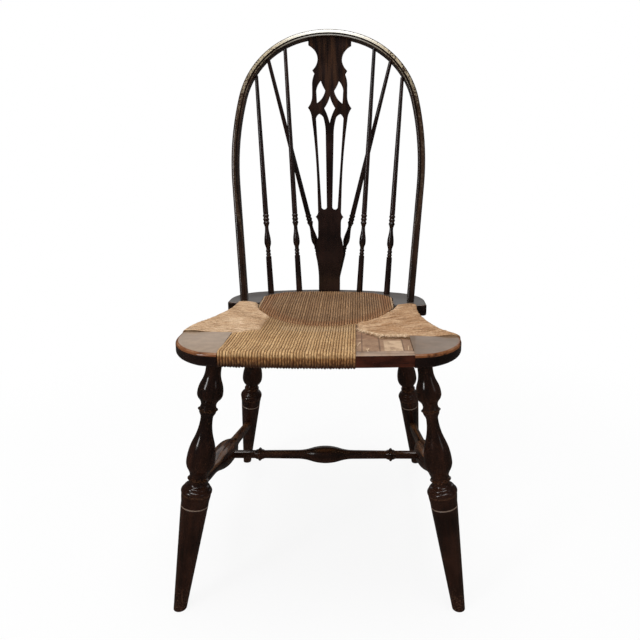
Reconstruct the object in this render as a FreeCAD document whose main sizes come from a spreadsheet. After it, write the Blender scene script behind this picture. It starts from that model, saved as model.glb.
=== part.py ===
import FreeCAD
import Part
import Sketcher
import os

# Bow-back brace-back side chair with a rush seat, in millimetres.
# X runs to the sitter's left as seen from the front (the viewer's right), Y runs to the back, Z is up.
# The origin is on the floor, under the middle of the chair's length and width.
# Everything in the seat is drawn in the plane of the seat, which drops a little to the back.

SIZES = [
    # Seat plane
    ("seat_height", 436.0),
    ("seat_tilt", 2.22),
    ("block_thick", 21.0),
    ("rail_thick", 17.0),
    ("rail_drop", 1.2),
    ("rush_wrap", 2.0),
    ("glue_gap", 0.1),
    ("arris_top", 5.0),
    ("arris_under", 7.0),
    # Front edge and corner blocks
    ("front_reach", 252.6),
    ("front_sag", 6.5),
    ("joint_half", 137.0),
    ("block_back_left", 138.0),
    ("block_back_right", 151.0),
    ("shoulder_half", 165.0),
    ("shoulder_reach", 241.0),
    ("corner_half", 214.5),
    ("corner_reach", 160.0),
    ("corner_bulge", 13.0),
    ("block_front_bulge", 0.8),
    # Rails between the blocks
    ("front_rail_deep", 21.0),
    ("side_rail_wide", 26.0),
    ("wing_neck_half_left", 167.5),
    ("wing_neck_half_right", 168.5),
    ("wing_turn_half_left", 197.0),
    ("wing_turn_half_right", 193.0),
    ("wing_turn_reach_left", 73.0),
    ("wing_turn_reach_right", 121.0),
    ("wing_hollow_left", 7.5),
    ("wing_hollow_right", 11.5),
    ("wing_bulge_left", 4.2),
    ("wing_bulge_right", 1.6),
    # Rear crescent
    ("ear_half", 187.0),
    ("ear_back", 92.0),
    ("ear_front_left", 62.0),
    ("ear_front_right", 50.0),
    ("ear_round", 7.0),
    ("ear_bulge", 13.0),
    ("crescent_half", 139.0),
    ("crescent_corner", 161.0),
    ("crescent_back", 186.0),
    ("slot_half", 126.0),
    ("slot_side", 105.0),
    ("slot_bend_half", 98.0),
    ("slot_bend", 140.0),
    ("slot_back", 161.0),
    ("slot_bulge", 7.3),
    ("slot_gap", 1.6),
    ("rear_rail_deep", 13.0),
    ("rear_rail_foot", 24.0),
    ("rear_rail_side_drop", 1.0),
    ("rear_rail_side_fall", 4.0),
    ("rear_rail_bend_drop", 2.9),
    ("rear_rail_bend_in", 7.8),
    ("rear_rail_hollow", 5.8),
    ("rear_rail_bow", 17.9),
    # Tailpiece behind the splat
    ("tail_half", 19.0),
    ("tail_tip_half", 15.0),
    ("tail_reach", 249.0),
    ("tail_round", 9.0),
    ("tail_scoop", 1.1),
    ("tail_dowel_half", 10.8),
    # Dowels in the seat joints
    ("dowel_radius", 4.0),
    ("dowel_long", 30.0),
    ("short_dowel_long", 18.0),
    ("dowel_room", 0.5),
    ("dowel_pitch", 12.0),
    # Rush
    ("rush_end", 55.0),
    ("rush_left_half", 95.0),
    ("rush_left_reach", 114.0),
    ("rush_fringe_half", 92.0),
    ("rush_fringe_reach", 154.0),
    ("rush_tip_reach", 92.0),
    ("rush_tip_bulge", 4.0),
    ("rush_block_gap", 1.0),
    ("crease_radius", 128.0),
    ("crease_centre", 66.0),
    ("dish_wide", 112.0),
    ("dish_centre", 52.0),
    ("dish_deep", 9.0),
    ("under_deep", 5.0),
    ("rush_joint", 0.3),
    # Padding board under the rush
    ("board_room", 0.5),
    ("board_back", 164.0),
    ("board_thick", 3.0),
    ("board_drop", 2.6),
    ("board_tuck", 18.0),
    # Front legs, measured along the turned axis from the floor
    ("front_foot_half", 224.2),
    ("front_foot_reach", 210.7),
    ("front_top_half", 156.5),
    ("front_top_reach", 164.0),
    # Rear legs
    ("rear_foot_half", 196.8),
    ("rear_foot_back", 240.4),
    ("rear_top_half", 141.7),
    ("rear_top_back", 120.0),
    ("rear_slim", 1.6),
    # Turning shared by the four legs
    ("leg_below", 8.0),
    ("leg_foot_radius", 9.8),
    ("leg_taper_up", 178.0),
    ("leg_taper_radius", 21.2),
    ("leg_scribe_wide", 2.4),
    ("leg_scribe_deep", 0.9),
    ("leg_shoulder_up", 199.0),
    ("leg_shoulder_radius", 22.8),
    ("leg_fillet_up", 207.0),
    ("leg_fillet_radius", 20.6),
    ("leg_cove_up", 216.5),
    ("leg_cove_radius", 13.6),
    ("leg_ring_up", 222.0),
    ("leg_ring_radius", 16.6),
    ("leg_ring_wide", 3.6),
    ("leg_ring_step", 0.6),
    ("leg_vase_foot_radius", 13.4),
    ("leg_vase_up", 251.0),
    ("leg_vase_radius", 22.0),
    ("leg_neck_up", 321.0),
    ("leg_neck_radius", 9.3),
    ("leg_collar_up", 335.5),
    ("leg_collar_radius", 15.3),
    ("leg_collar_wide", 3.4),
    ("leg_collar_step_under", 2.2),
    ("leg_collar_step_over", 2.6),
    ("leg_waist_up", 342.0),
    ("leg_waist_radius", 11.6),
    ("leg_bulb_up", 361.0),
    ("leg_bulb_radius", 19.6),
    ("leg_top_up", 398.0),
    ("leg_top_radius", 11.8),
    ("leg_top_step", 0.4),
    ("leg_tenon_radius", 8.5),
    ("leg_tenon_deep", 15.0),
    # Side stretchers
    ("stretcher_front_up", 202.0),
    ("stretcher_rear_up", 114.0),
    ("stretcher_joint", 0.43),
    ("stretcher_end_radius", 8.4),
    ("stretcher_end_gain", 0.8),
    ("stretcher_swell_radius", 20.4),
    ("stretcher_swell_half", 95.0),
    ("stretcher_swell_flat", 5.0),
    ("stretcher_tenon_radius", 7.2),
    ("stretcher_tenon_deep", 14.0),
    # Cross stretcher
    ("cross_rod_radius", 7.4),
    ("cross_rod_seat", 1.0),
    ("cross_mid_radius", 15.8),
    ("cross_mid_half", 52.0),
    ("cross_waist_radius", 8.0),
    ("cross_bead_half", 121.0),
    ("cross_bead_radius", 12.0),
    ("cross_bead_wide", 9.0),
    ("cross_fillet_wide", 5.0),
    ("cross_fillet_radius", 9.0),
    ("cross_tenon_radius", 6.4),
    ("cross_tenon_deep", 13.0),
    # Bow, drawn in its own leaning plane
    ("bow_foot_half", 158.5),
    ("bow_foot_back", 84.5),
    ("bow_lean", 15.0),
    ("bow_splay", 4.7),
    ("bow_straight", 223.2),
    ("bow_side_radius", 558.5),
    ("bow_side_turn", 17.1),
    ("bow_shoulder_radius", 158.5),
    ("bow_shoulder_turn", 60.2),
    ("bow_wide", 13.4),
    ("bow_deep", 20.0),
    ("bow_round", 4.2),
    ("bow_below", 12.0),
    ("bow_quirk_in", 4.0),
    ("bow_quirk_wide", 1.8),
    ("bow_quirk_deep", 1.3),
    ("bow_tenon_radius", 6.5),
    ("bow_tenon_deep", 14.0),
    # Splat, drawn in its own leaning plane from the seat up
    ("splat_back", 169.0),
    ("splat_lean", 5.7),
    ("splat_thick", 8.0),
    ("splat_tall", 501.0),
    ("splat_cap_up", 481.7),
    ("splat_cap_half", 41.5),
    ("splat_waist_up", 455.0),
    ("splat_waist_half", 23.6),
    ("splat_ear_up", 434.5),
    ("splat_ear_half", 33.8),
    ("splat_notch_up", 428.0),
    ("splat_notch_half", 29.8),
    ("splat_cheek_up", 403.5),
    ("splat_cheek_half", 34.3),
    ("splat_point_low", 386.5),
    ("splat_point_up", 364.0),
    ("splat_point_half", 42.6),
    ("splat_lap_up", 343.7),
    ("splat_lap_half", 35.0),
    ("splat_stem_up", 320.0),
    ("splat_stem_half", 32.0),
    ("splat_mid_up", 211.0),
    ("splat_mid_half", 24.3),
    ("splat_low_up", 160.0),
    ("splat_low_half", 23.0),
    ("splat_barb_up", 151.5),
    ("splat_barb_half", 28.0),
    ("splat_neck_up", 139.5),
    ("splat_neck_half", 22.9),
    ("splat_throat_up", 112.0),
    ("splat_vase_up", 72.0),
    ("splat_vase_half", 27.0),
    ("splat_base_half", 21.5),
    ("splat_foot_up", 20.0),
    ("splat_base_hollow", 1.5),
    ("splat_vase_round", 2.5),
    ("splat_neck_hollow", 1.4),
    ("splat_barb_hollow", 0.8),
    ("splat_mid_hollow", 1.2),
    ("splat_lap_hollow", 1.6),
    ("splat_point_hollow", 2.2),
    ("splat_cheek_round", 1.6),
    ("splat_ear_hollow", 2.4),
    ("splat_waist_hollow", 4.6),
    ("splat_tongue_half", 16.0),
    ("splat_tongue_deep", 12.0),
    ("splat_top_half", 27.0),
    ("splat_top_low", 484.0),
    ("splat_top_thick", 6.0),
    # Piercings of the splat
    ("tear_top", 416.0),
    ("tear_top_half", 17.8),
    ("tear_wide_up", 397.5),
    ("tear_outer_half", 26.4),
    ("tear_inner_half", 8.6),
    ("tear_foot", 372.5),
    ("tear_foot_half", 25.0),
    ("tear_bulge", 1.6),
    ("diamond_top", 387.0),
    ("diamond_side", 364.0),
    ("diamond_half", 11.0),
    ("diamond_foot", 334.5),
    ("diamond_hollow", 1.3),
    ("slot_top", 353.3),
    ("slot_top_half", 21.0),
    ("slot_outer_up", 344.8),
    ("slot_outer_half", 27.2),
    ("slot_inner_up", 346.8),
    ("slot_inner_half", 12.7),
    ("slot_throat_up", 320.0),
    ("slot_throat_half", 7.9),
    ("slot_foot_up", 171.0),
    ("slot_foot_outer", 16.3),
    ("slot_foot_inner", 5.4),
    ("slot_foot_round", 4.6),
    ("slot_round", 0.8),
    # Spindles, turned alike
    ("outer_foot_half", 116.5),
    ("outer_foot_back", 147.0),
    ("outer_top_half", 140.0),
    ("outer_top_up", 423.0),
    ("inner_foot_half", 61.5),
    ("inner_foot_back", 167.0),
    ("inner_top_half", 85.7),
    ("inner_top_up", 480.4),
    ("brace_foot_half", 9.6),
    ("brace_foot_back", 228.0),
    ("brace_top_half", 116.5),
    ("brace_top_up", 457.1),
    ("spindle_foot_radius", 6.1),
    ("spindle_shaft_up", 74.0),
    ("spindle_shaft_radius", 5.4),
    ("spindle_bead_radius", 4.9),
    ("spindle_bead_wide", 6.6),
    ("spindle_groove_radius", 3.9),
    ("spindle_vase_up", 102.0),
    ("spindle_vase_radius", 6.6),
    ("spindle_neck_up", 133.0),
    ("spindle_neck_radius", 3.6),
    ("spindle_ring_up", 137.0),
    ("spindle_ring_radius", 6.1),
    ("spindle_ring_wide", 7.2),
    ("spindle_ring_groove", 4.9),
    ("spindle_ring_step", 2.0),
    ("spindle_bead_step", 1.0),
    ("spindle_upper_radius", 5.2),
    ("spindle_tip_radius", 3.5),
    ("spindle_foot_tenon", 13.0),
    ("spindle_tip_tenon", 8.0),
    ("spindle_tip_room", 0.15),
    ("brace_foot_tenon", 14.0),
]

doc = FreeCAD.newDocument("bow_back_chair")
sheet = doc.addObject("Spreadsheet::Sheet", "Sizes")
for row, (alias, number) in enumerate(SIZES, start=1):
    sheet.set("A%d" % row, alias)
    sheet.set("B%d" % row, str(number))
    sheet.setAlias("B%d" % row, alias)

# Sizes that follow from the driving ones
worked = doc.addObject("Spreadsheet::Sheet", "Worked")
worked_rows = []


def work(alias, formula):
    """Add one worked-out size, written with the names of other sizes."""
    worked_rows.append(alias)
    row = len(worked_rows)
    worked.set("A%d" % row, alias)
    worked.set("B%d" % row, "=" + formula.replace("Worked.", ""))
    worked.setAlias("B%d" % row, alias)
    worked.recompute()


def pin(name, point):
    """Keep a point's three coordinates in the sheet and hand back their names."""
    for axis, expression in zip("xyz", point):
        work("%s_%s" % (name, axis), expression)
    return tuple("Worked.%s_%s" % (name, axis) for axis in "xyz")


def seat_point(half, back):
    """A point on top of the seat plane, as three expressions."""
    height = "(Sizes.seat_height - tan(Sizes.seat_tilt) * (%s))" % back
    return ("(%s)" % half, "(%s)" % back, height)


def number(expression):
    """The present value of an expression of the sheets."""
    value = sheet.evalExpression(expression)
    return float(getattr(value, "Value", value))


def span(start, end):
    """The three differences between two points given as expressions."""
    return tuple("((%s) - (%s))" % (e, b) for b, e in zip(start, end))


def length_of(start, end):
    dx, dy, dz = span(start, end)
    return "sqrt(%s^2 + %s^2 + %s^2)" % (dx, dy, dz)


def along(start, end, share):
    """The point at a share of the way from start to end."""
    return tuple("(%s + (%s) * %s)" % (b, share, d) for b, d in zip(start, span(start, end)))


def aim(start, end):
    """A placement at start whose Z axis points at end."""
    dx, dy, dz = span(start, end)
    turn = "acos(%s / %s)" % (dz, length_of(start, end))
    return "placement(vector(%s; %s; %s); rotation(vector(-%s; %s; 0); %s))" % (*start, dy, dx, turn)


def lean(back, angle):
    """A placement on the seat plane, turned so that its Z axis leans to the back."""
    x, y, z = seat_point("0", back)
    return "placement(vector(%s; %s; %s); rotation(vector(1; 0; 0); -%s))" % (x, y, z, angle)


SEAT = "placement(vector(0; 0; Sizes.seat_height); rotation(vector(1; 0; 0); -Sizes.seat_tilt))"


def shifted(placement, x="0", y="0", z="0", axis="0; 0; 1", angle="0"):
    """A placement moved and turned within another one."""
    move = "placement(vector(%s; %s; %s); rotation(vector(%s); %s))" % (x, y, z, axis, angle)
    return "%s * %s" % (placement, move)


def lying(x, y, z):
    """A place in the seat with its Z axis along the seat's X axis."""
    return shifted(SEAT, x, y, z, "0; 1; 0", "90")


def running_back(x, y, z):
    """A place in the seat with its Z axis towards the back."""
    return shifted(SEAT, x, y, z, "1; 0; 0", "-90")


# Sketches


def new_sketch(body, name, role):
    """A sketch on one of the body's own origin planes."""
    sketch = body.newObject("Sketcher::SketchObject", name)
    plane = [part for part in body.Origin.OriginFeatures if part.Role == role][0]
    sketch.AttachmentSupport = [(plane, "")]
    sketch.MapMode = "FlatFace"
    return sketch


def bind_all(sketch, ties):
    """Add constraints in one go. A tie is (constraint, expression), or (constraint, None)."""
    first = sketch.ConstraintCount
    sketch.addConstraint([constraint for constraint, expression in ties])
    for step, (constraint, expression) in enumerate(ties):
        if expression is not None:
            sketch.setExpression("Constraints[%d]" % (first + step), expression)


def arc_radius(start, end, bulge):
    """The radius of an arc from its two ends and how far it stands off its chord."""
    quarter = "(((%s) - (%s))^2 + ((%s) - (%s))^2) / 4" % (end[0], start[0], end[1], start[1])
    return "(%s + (%s)^2) / (2 * abs(%s))" % (quarter, bulge, bulge)


def draw_loop(sketch, vertices):
    """Close a loop of lines and arcs through vertices (x, y, bulge).

    The bulge is the height of the arc that leads to the next vertex, measured to the right of the
    way of travel, or None for a straight line.
    """
    first = sketch.GeometryCount
    points = [FreeCAD.Vector(number(x), number(y), 0) for x, y, bulge in vertices]
    count = len(vertices)
    arcs = []
    for place, (x, y, bulge) in enumerate(vertices):
        here = points[place]
        there = points[(place + 1) % count]
        if bulge is None:
            sketch.addGeometry(Part.LineSegment(here, there), False)
            arcs.append(None)
            continue
        chord = there - here
        side = FreeCAD.Vector(chord.y, -chord.x, 0).normalize()
        middle = (here + there) * 0.5 + side * number(bulge)
        forward = number(bulge) > 0
        if forward:
            sketch.addGeometry(Part.Arc(here, middle, there), False)
        else:
            sketch.addGeometry(Part.Arc(there, middle, here), False)
        arcs.append(forward)
    ties = []
    for place in range(count):
        following = (place + 1) % count
        end_here = 1 if arcs[place] is False else 2
        start_next = 2 if arcs[following] is False else 1
        ties.append((
            Sketcher.Constraint("Coincident", first + place, end_here, first + following, start_next),
            None,
        ))
    for place, (x, y, bulge) in enumerate(vertices):
        start = 2 if arcs[place] is False else 1
        line = first + place
        at = points[place]
        ties.append((Sketcher.Constraint("DistanceX", -1, 1, line, start, at.x), x))
        ties.append((Sketcher.Constraint("DistanceY", -1, 1, line, start, at.y), y))
        if bulge is not None:
            radius = arc_radius((x, y), vertices[(place + 1) % count], bulge)
            ties.append((Sketcher.Constraint("Radius", line, sketch.Geometry[line].Radius), radius))
    bind_all(sketch, ties)


def pad(name, placement, role, vertices, thickness, midplane=False, down=False):
    """A board cut to a plan outline."""
    body = doc.addObject("PartDesign::Body", name)
    sketch = new_sketch(body, name + "_plan", role)
    draw_loop(sketch, vertices)
    board = body.newObject("PartDesign::Pad", name + "_pad")
    board.Profile = (sketch, [""])
    board.setExpression("Length", thickness)
    board.Midplane = midplane
    board.Refine = False
    board.Reversed = down
    body.setExpression("Placement", placement)
    return body


def mirrored(vertices):
    """The same outline on the other side, still run round in the same sense."""
    flipped = []
    count = len(vertices)
    for place in range(count):
        x, y, bulge = vertices[-1 - place]
        before = vertices[(-2 - place) % count][2]
        flipped.append(("-(%s)" % x, y, before))
    return flipped


# Turned pieces


def turned(name, placement, profile):
    """A turned piece. The profile runs up the axis as (up, radius, way) from the bottom.

    The way says how the outline reaches this point from the one before: line, ogee, which is two
    equal arcs that start and end along the axis, or round, a single arc that stands out by a
    quarter of its length.
    """
    body = doc.addObject("PartDesign::Body", name)
    sketch = new_sketch(body, name + "_profile", "XZ_Plane")
    vertices = [("0", profile[0][0], None)]
    for place, (up, radius, way) in enumerate(profile):
        if place and way == "ogee":
            low_up, low_radius, skipped = profile[place - 1]
            low_value = number(low_radius)
            high_value = number(radius)
            rise = "((%s) - (%s))" % (up, low_up)
            step = "abs((%s) - (%s))" % (radius, low_radius)
            bend = "((%s^2 + %s^2) / (4 * %s))" % (rise, step, step)
            depth = "(%s - sqrt(%s^2 - (%s^2 + %s^2) / 16))" % (bend, bend, rise, step)
            sign = "-" if high_value > low_value else ""
            other = "" if high_value > low_value else "-"
            vertices[-1] = (vertices[-1][0], vertices[-1][1], sign + depth)
            middle_radius = "((%s) + (%s)) / 2" % (radius, low_radius)
            middle_up = "((%s) + (%s)) / 2" % (up, low_up)
            vertices.append((middle_radius, middle_up, other + depth))
        elif place and way == "round":
            low_up, low_radius, skipped = profile[place - 1]
            vertices[-1] = (vertices[-1][0], vertices[-1][1], "((%s) - (%s)) / 4" % (up, low_up))
        vertices.append((radius, up, None))
    vertices.append(("0", profile[-1][0], None))
    draw_loop(sketch, vertices)
    spin = body.newObject("PartDesign::Revolution", name + "_turning")
    spin.Profile = (sketch, [""])
    spin.ReferenceAxis = (sketch, ["V_Axis"])
    spin.Angle = 360
    spin.Refine = False
    body.setExpression("Placement", placement)
    return body


def socket(name, placement, radius, start, deep):
    """A round cutter along the Z axis of a placement, wider than its tenon by the glue gap."""
    tool = doc.addObject("Part::Cylinder", name)
    tool.setExpression("Radius", "%s + Sizes.glue_gap" % radius)
    tool.setExpression("Height", deep)
    tool.setExpression("Placement", shifted(placement, z=start))
    return tool


def peg(name, placement, radius, start, deep):
    """A round tenon or dowel along the Z axis of a placement."""
    rod = doc.addObject("Part::Cylinder", name)
    rod.setExpression("Radius", radius)
    rod.setExpression("Height", deep)
    rod.setExpression("Placement", shifted(placement, z=start))
    return rod


def block(name, placement, wide, deep, tall):
    """A square cutter or tongue, centred on its placement in X and Y and rising along Z."""
    box = doc.addObject("Part::Box", name)
    box.setExpression("Length", wide)
    box.setExpression("Width", deep)
    box.setExpression("Height", tall)
    box.setExpression("Placement", shifted(placement, "-(%s) / 2" % wide, "-(%s) / 2" % deep))
    return box


def cut(name, base, tools):
    """The base with all the tools taken out of it."""
    if len(tools) == 1:
        tool = tools[0]
    else:
        tool = doc.addObject("Part::MultiFuse", name + "_cutters")
        tool.Shapes = tools
    result = doc.addObject("Part::Cut", name)
    result.Base = base
    result.Tool = tool
    return result


def fuse(name, shapes):
    result = doc.addObject("Part::MultiFuse", name)
    result.Shapes = shapes
    return result


nodes = []


def finished(shape, label):
    """Name a sub-part as it is known on the bench."""
    shape.Label = label
    nodes.append(shape)


SIDES = [("left", "-1"), ("right", "1")]
MID_THICK = "-Sizes.block_thick / 2"
BEADS = 2
RINGS = 3
EDGE_ROOM = 1.0
SAME_LEVEL = 0.01

work("rush_top", "Sizes.rush_wrap - Sizes.rail_drop")
work("rush_thick", "Sizes.rail_thick + 2 * Sizes.rush_wrap")
work("rail_reach", "Sizes.front_reach - Sizes.rush_wrap")
work("joint_reach", "Sizes.front_reach - Sizes.front_sag")
doc.recompute()

# Axes of the legs, stretchers, spindles and bow


def at_height(line, height):
    """The point of a leg's axis at a height above the floor."""
    foot, top = line
    return along(foot, top, "(%s) / (%s)" % (height, top[2]))


def bow_point(half, up):
    """A point of the bow's leaning plane."""
    x, y, z = seat_point(half, "Sizes.bow_foot_back")
    return (x, "(%s + (%s) * sin(Sizes.bow_lean))" % (y, up), "(%s + (%s) * cos(Sizes.bow_lean))" % (z, up))


lines = {}
for side_name, side in SIDES:
    for end in ("front", "rear"):
        way = "-1" if end == "front" else "1"
        reach = "reach" if end == "front" else "back"
        foot = pin("leg_%s_%s_foot" % (end, side_name),
                   ("%s * Sizes.%s_foot_half" % (side, end), "%s * Sizes.%s_foot_%s" % (way, end, reach), "0"))
        half, back, height = seat_point("%s * Sizes.%s_top_half" % (side, end),
                                        "%s * Sizes.%s_top_%s" % (way, end, reach))
        top = pin("leg_%s_%s_top" % (end, side_name), (half, back, "(%s - Sizes.block_thick)" % height))
        lines["leg_%s_%s" % (end, side_name)] = (foot, top)
    lines["side_stretcher_" + side_name] = (
        pin("stretcher_front_" + side_name,
            at_height(lines["leg_front_" + side_name], "Sizes.stretcher_front_up")),
        pin("stretcher_rear_" + side_name,
            at_height(lines["leg_rear_" + side_name], "Sizes.stretcher_rear_up")),
    )
    for kind, piece in (("outer", "spindle_outer"), ("inner", "spindle_inner"), ("brace", "brace_spindle")):
        name = "%s_%s" % (piece, side_name)
        foot = seat_point("%s * Sizes.%s_foot_half" % (side, kind), "Sizes.%s_foot_back" % kind)
        top = bow_point("%s * Sizes.%s_top_half" % (side, kind), "Sizes.%s_top_up" % kind)
        lines[name] = (pin(name + "_foot", foot), pin(name + "_top", top))
cross_ends = {}
for side_name, side in SIDES:
    cross_ends[side_name] = pin(
        "cross_" + side_name, along(*lines["side_stretcher_" + side_name], "Sizes.stretcher_joint")
    )
lines["cross_stretcher"] = (cross_ends["left"], cross_ends["right"])
for name, line in lines.items():
    work(name + "_long", length_of(*line))


# Legs


def leg_profile(long, slim):
    """One turning for all legs: tapered foot, shoulder, ring, long vase, collar and small vase."""
    def r(alias):
        return "Sizes.%s - %s" % (alias, slim)

    scribe = "Sizes.leg_scribe_wide / 2"
    ring = "Sizes.leg_ring_wide / 2"
    collar = "Sizes.leg_collar_wide / 2"
    return [
        ("-Sizes.leg_below", r("leg_foot_radius"), "line"),
        ("Sizes.leg_taper_up - %s" % scribe, r("leg_taper_radius"), "line"),
        ("Sizes.leg_taper_up", r("leg_taper_radius") + " - Sizes.leg_scribe_deep", "line"),
        ("Sizes.leg_taper_up + %s" % scribe, r("leg_taper_radius"), "line"),
        ("Sizes.leg_shoulder_up", r("leg_shoulder_radius"), "ogee"),
        ("Sizes.leg_fillet_up", r("leg_fillet_radius"), "round"),
        ("Sizes.leg_cove_up", r("leg_cove_radius"), "ogee"),
        ("Sizes.leg_ring_up - %s" % ring, r("leg_cove_radius") + " + Sizes.leg_ring_step", "line"),
        ("Sizes.leg_ring_up", r("leg_ring_radius"), "line"),
        ("Sizes.leg_ring_up + %s" % ring, r("leg_vase_foot_radius"), "line"),
        ("Sizes.leg_vase_up", r("leg_vase_radius"), "ogee"),
        ("Sizes.leg_neck_up", r("leg_neck_radius"), "ogee"),
        ("Sizes.leg_collar_up - %s" % collar, r("leg_collar_radius") + " - Sizes.leg_collar_step_under", "ogee"),
        ("Sizes.leg_collar_up", r("leg_collar_radius"), "line"),
        ("Sizes.leg_collar_up + %s" % collar, r("leg_collar_radius") + " - Sizes.leg_collar_step_over", "line"),
        ("Sizes.leg_waist_up", r("leg_waist_radius"), "line"),
        ("Sizes.leg_bulb_up", r("leg_bulb_radius"), "ogee"),
        ("Sizes.leg_top_up", r("leg_top_radius"), "ogee"),
        (long, r("leg_top_radius") + " - Sizes.leg_top_step", "line"),
        (long, "Sizes.leg_tenon_radius", "line"),
        ("%s + Sizes.leg_tenon_deep" % long, "Sizes.leg_tenon_radius", "line"),
    ]


floor = doc.addObject("Part::Box", "under_floor")
floor.setExpression("Length", "4 * Sizes.front_reach")
floor.setExpression("Width", "4 * Sizes.front_reach")
floor.setExpression("Height", "4 * Sizes.leg_below")
floor.setExpression(
    "Placement",
    "placement(vector(-2 * Sizes.front_reach; -2 * Sizes.front_reach; -4 * Sizes.leg_below);"
    " rotation(vector(0; 0; 1); 0))",
)

leg_sockets = {"front": {}, "rear": {}}
for side_name, side in SIDES:
    for end, slim in (("front", "0"), ("rear", "Sizes.rear_slim")):
        name = "leg_%s_%s" % (end, side_name)
        line = lines[name]
        long = "Worked.%s_long" % name
        blank = turned(name + "_turned", aim(*line), leg_profile(long, slim))
        front, rear = lines["side_stretcher_" + side_name]
        start, stop = (front, rear) if end == "front" else (rear, front)
        hole = socket(
            name + "_stretcher_hole", aim(start, stop), "Sizes.stretcher_tenon_radius",
            "-Sizes.stretcher_tenon_deep / 2 - Sizes.dowel_room", "4 * Sizes.stretcher_tenon_deep",
        )
        finished(cut(name, blank, [floor, hole]), name)
        leg_sockets[end][side_name] = socket(
            name + "_socket", aim(*line), "Sizes.leg_tenon_radius",
            long + " / 2", "%s / 2 + Sizes.leg_tenon_deep + Sizes.dowel_room" % long,
        )

# Side stretchers, each with one long swelling where the cross stretcher enters
for side_name, side in SIDES:
    name = "side_stretcher_" + side_name
    front, rear = lines[name]
    long = "Worked.%s_long" % name
    centre = "%s * Sizes.stretcher_joint" % long
    leg_skin = "Sizes.leg_shoulder_radius - Sizes.stretcher_tenon_deep / 4"
    profile = [
        ("-Sizes.stretcher_tenon_deep / 2", "Sizes.stretcher_tenon_radius", "line"),
        (leg_skin, "Sizes.stretcher_tenon_radius", "line"),
        (leg_skin, "Sizes.stretcher_end_radius", "line"),
        (centre + " - Sizes.stretcher_swell_half", "Sizes.stretcher_end_radius + Sizes.stretcher_end_gain", "line"),
        (centre + " - Sizes.stretcher_swell_flat", "Sizes.stretcher_swell_radius", "ogee"),
        (centre + " + Sizes.stretcher_swell_flat", "Sizes.stretcher_swell_radius", "line"),
        (centre + " + Sizes.stretcher_swell_half", "Sizes.stretcher_end_radius + Sizes.stretcher_end_gain", "ogee"),
        (long + " - (" + leg_skin + ")", "Sizes.stretcher_end_radius", "line"),
        (long + " - (" + leg_skin + ")", "Sizes.stretcher_tenon_radius", "line"),
        (long + " + Sizes.stretcher_tenon_deep / 2", "Sizes.stretcher_tenon_radius", "line"),
    ]
    blank = turned(name + "_turned", aim(front, rear), profile)
    here = cross_ends[side_name]
    there = cross_ends["right" if side_name == "left" else "left"]
    hole = socket(
        name + "_cross_hole", aim(here, there), "Sizes.cross_tenon_radius",
        "Sizes.stretcher_swell_radius - Sizes.cross_tenon_deep - Sizes.dowel_room",
        "4 * Sizes.cross_tenon_deep",
    )
    finished(cut(name, blank, [hole]), name)

# Cross stretcher, drawn from its middle out to each end
work("cross_half", "Worked.cross_stretcher_long / 2")


def cross_profile():
    """The half-profile from the left end to the right, symmetric about the middle."""
    end = "(Worked.cross_half - Sizes.stretcher_swell_radius + Sizes.cross_rod_seat)"
    bead = "Sizes.cross_bead_half"
    edge = "Sizes.cross_bead_wide / 2"
    rod = "Sizes.cross_rod_radius"
    fillet = "Sizes.cross_fillet_radius"
    right = [
        ("0", "Sizes.cross_mid_radius", "line"),
        ("Sizes.cross_mid_half", "Sizes.cross_waist_radius", "ogee"),
        ("%s - %s - Sizes.cross_fillet_wide" % (bead, edge), rod, "line"),
        ("%s - %s" % (bead, edge), fillet, "ogee"),
        (bead, "Sizes.cross_bead_radius", "ogee"),
        ("%s + %s" % (bead, edge), fillet, "ogee"),
        ("%s + %s + Sizes.cross_fillet_wide" % (bead, edge), rod, "ogee"),
        (end, rod, "line"),
        (end, "Sizes.cross_tenon_radius", "line"),
        ("Worked.cross_half - Sizes.stretcher_swell_radius + Sizes.cross_tenon_deep",
         "Sizes.cross_tenon_radius", "line"),
    ]
    left = []
    for place in range(len(right) - 1, 0, -1):
        up, radius, skipped = right[place]
        following = right[place + 1][2] if place + 1 < len(right) else "line"
        left.append(("Worked.cross_half - (%s)" % up, radius, following))
    middle = ("Worked.cross_half", right[0][1], right[1][2])
    after = [("Worked.cross_half + %s" % up, radius, way) for up, radius, way in right[1:]]
    return left + [middle] + after


finished(turned("cross_stretcher", aim(*lines["cross_stretcher"]), cross_profile()), "cross_stretcher")

# Corner blocks of the seat


def corner_outline(side_name):
    back = "-Sizes.block_back_%s" % side_name
    return [
        ("Sizes.joint_half", "-Worked.joint_reach", "Sizes.block_front_bulge"),
        ("Sizes.shoulder_half", "-Sizes.shoulder_reach", "Sizes.corner_bulge"),
        ("Sizes.corner_half", "-Sizes.corner_reach", None),
        ("Sizes.corner_half", back, None),
        ("Sizes.joint_half", back, None),
    ]


def dowel(name, placement, long="Sizes.dowel_long"):
    """A dowel across a joint and the hole for it, both centred on the joint."""
    rod = peg(name, placement, "Sizes.dowel_radius", "-%s / 2" % long, long)
    hole = socket(
        name + "_hole", placement, "Sizes.dowel_radius",
        "-%s / 2 - Sizes.dowel_room" % long, "%s + 2 * Sizes.dowel_room" % long,
    )
    return rod, hole


def soften(body, edges_of, radius, name):
    """Round the chosen edges of a body's last feature."""
    doc.recompute()
    feature = body.Tip
    names = []
    for index, edge in enumerate(feature.Shape.Edges, start=1):
        if edges_of(edge):
            names.append("Edge%d" % index)
    rounding = body.newObject("PartDesign::Fillet", name)
    rounding.Base = (feature, names)
    rounding.setExpression("Radius", radius)
    doc.recompute()
    return rounding


def level(edge, height):
    """True where all of an edge lies at one height of its body."""
    box = edge.BoundBox
    return abs(box.ZMin - height) < SAME_LEVEL and abs(box.ZMax - height) < SAME_LEVEL


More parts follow.
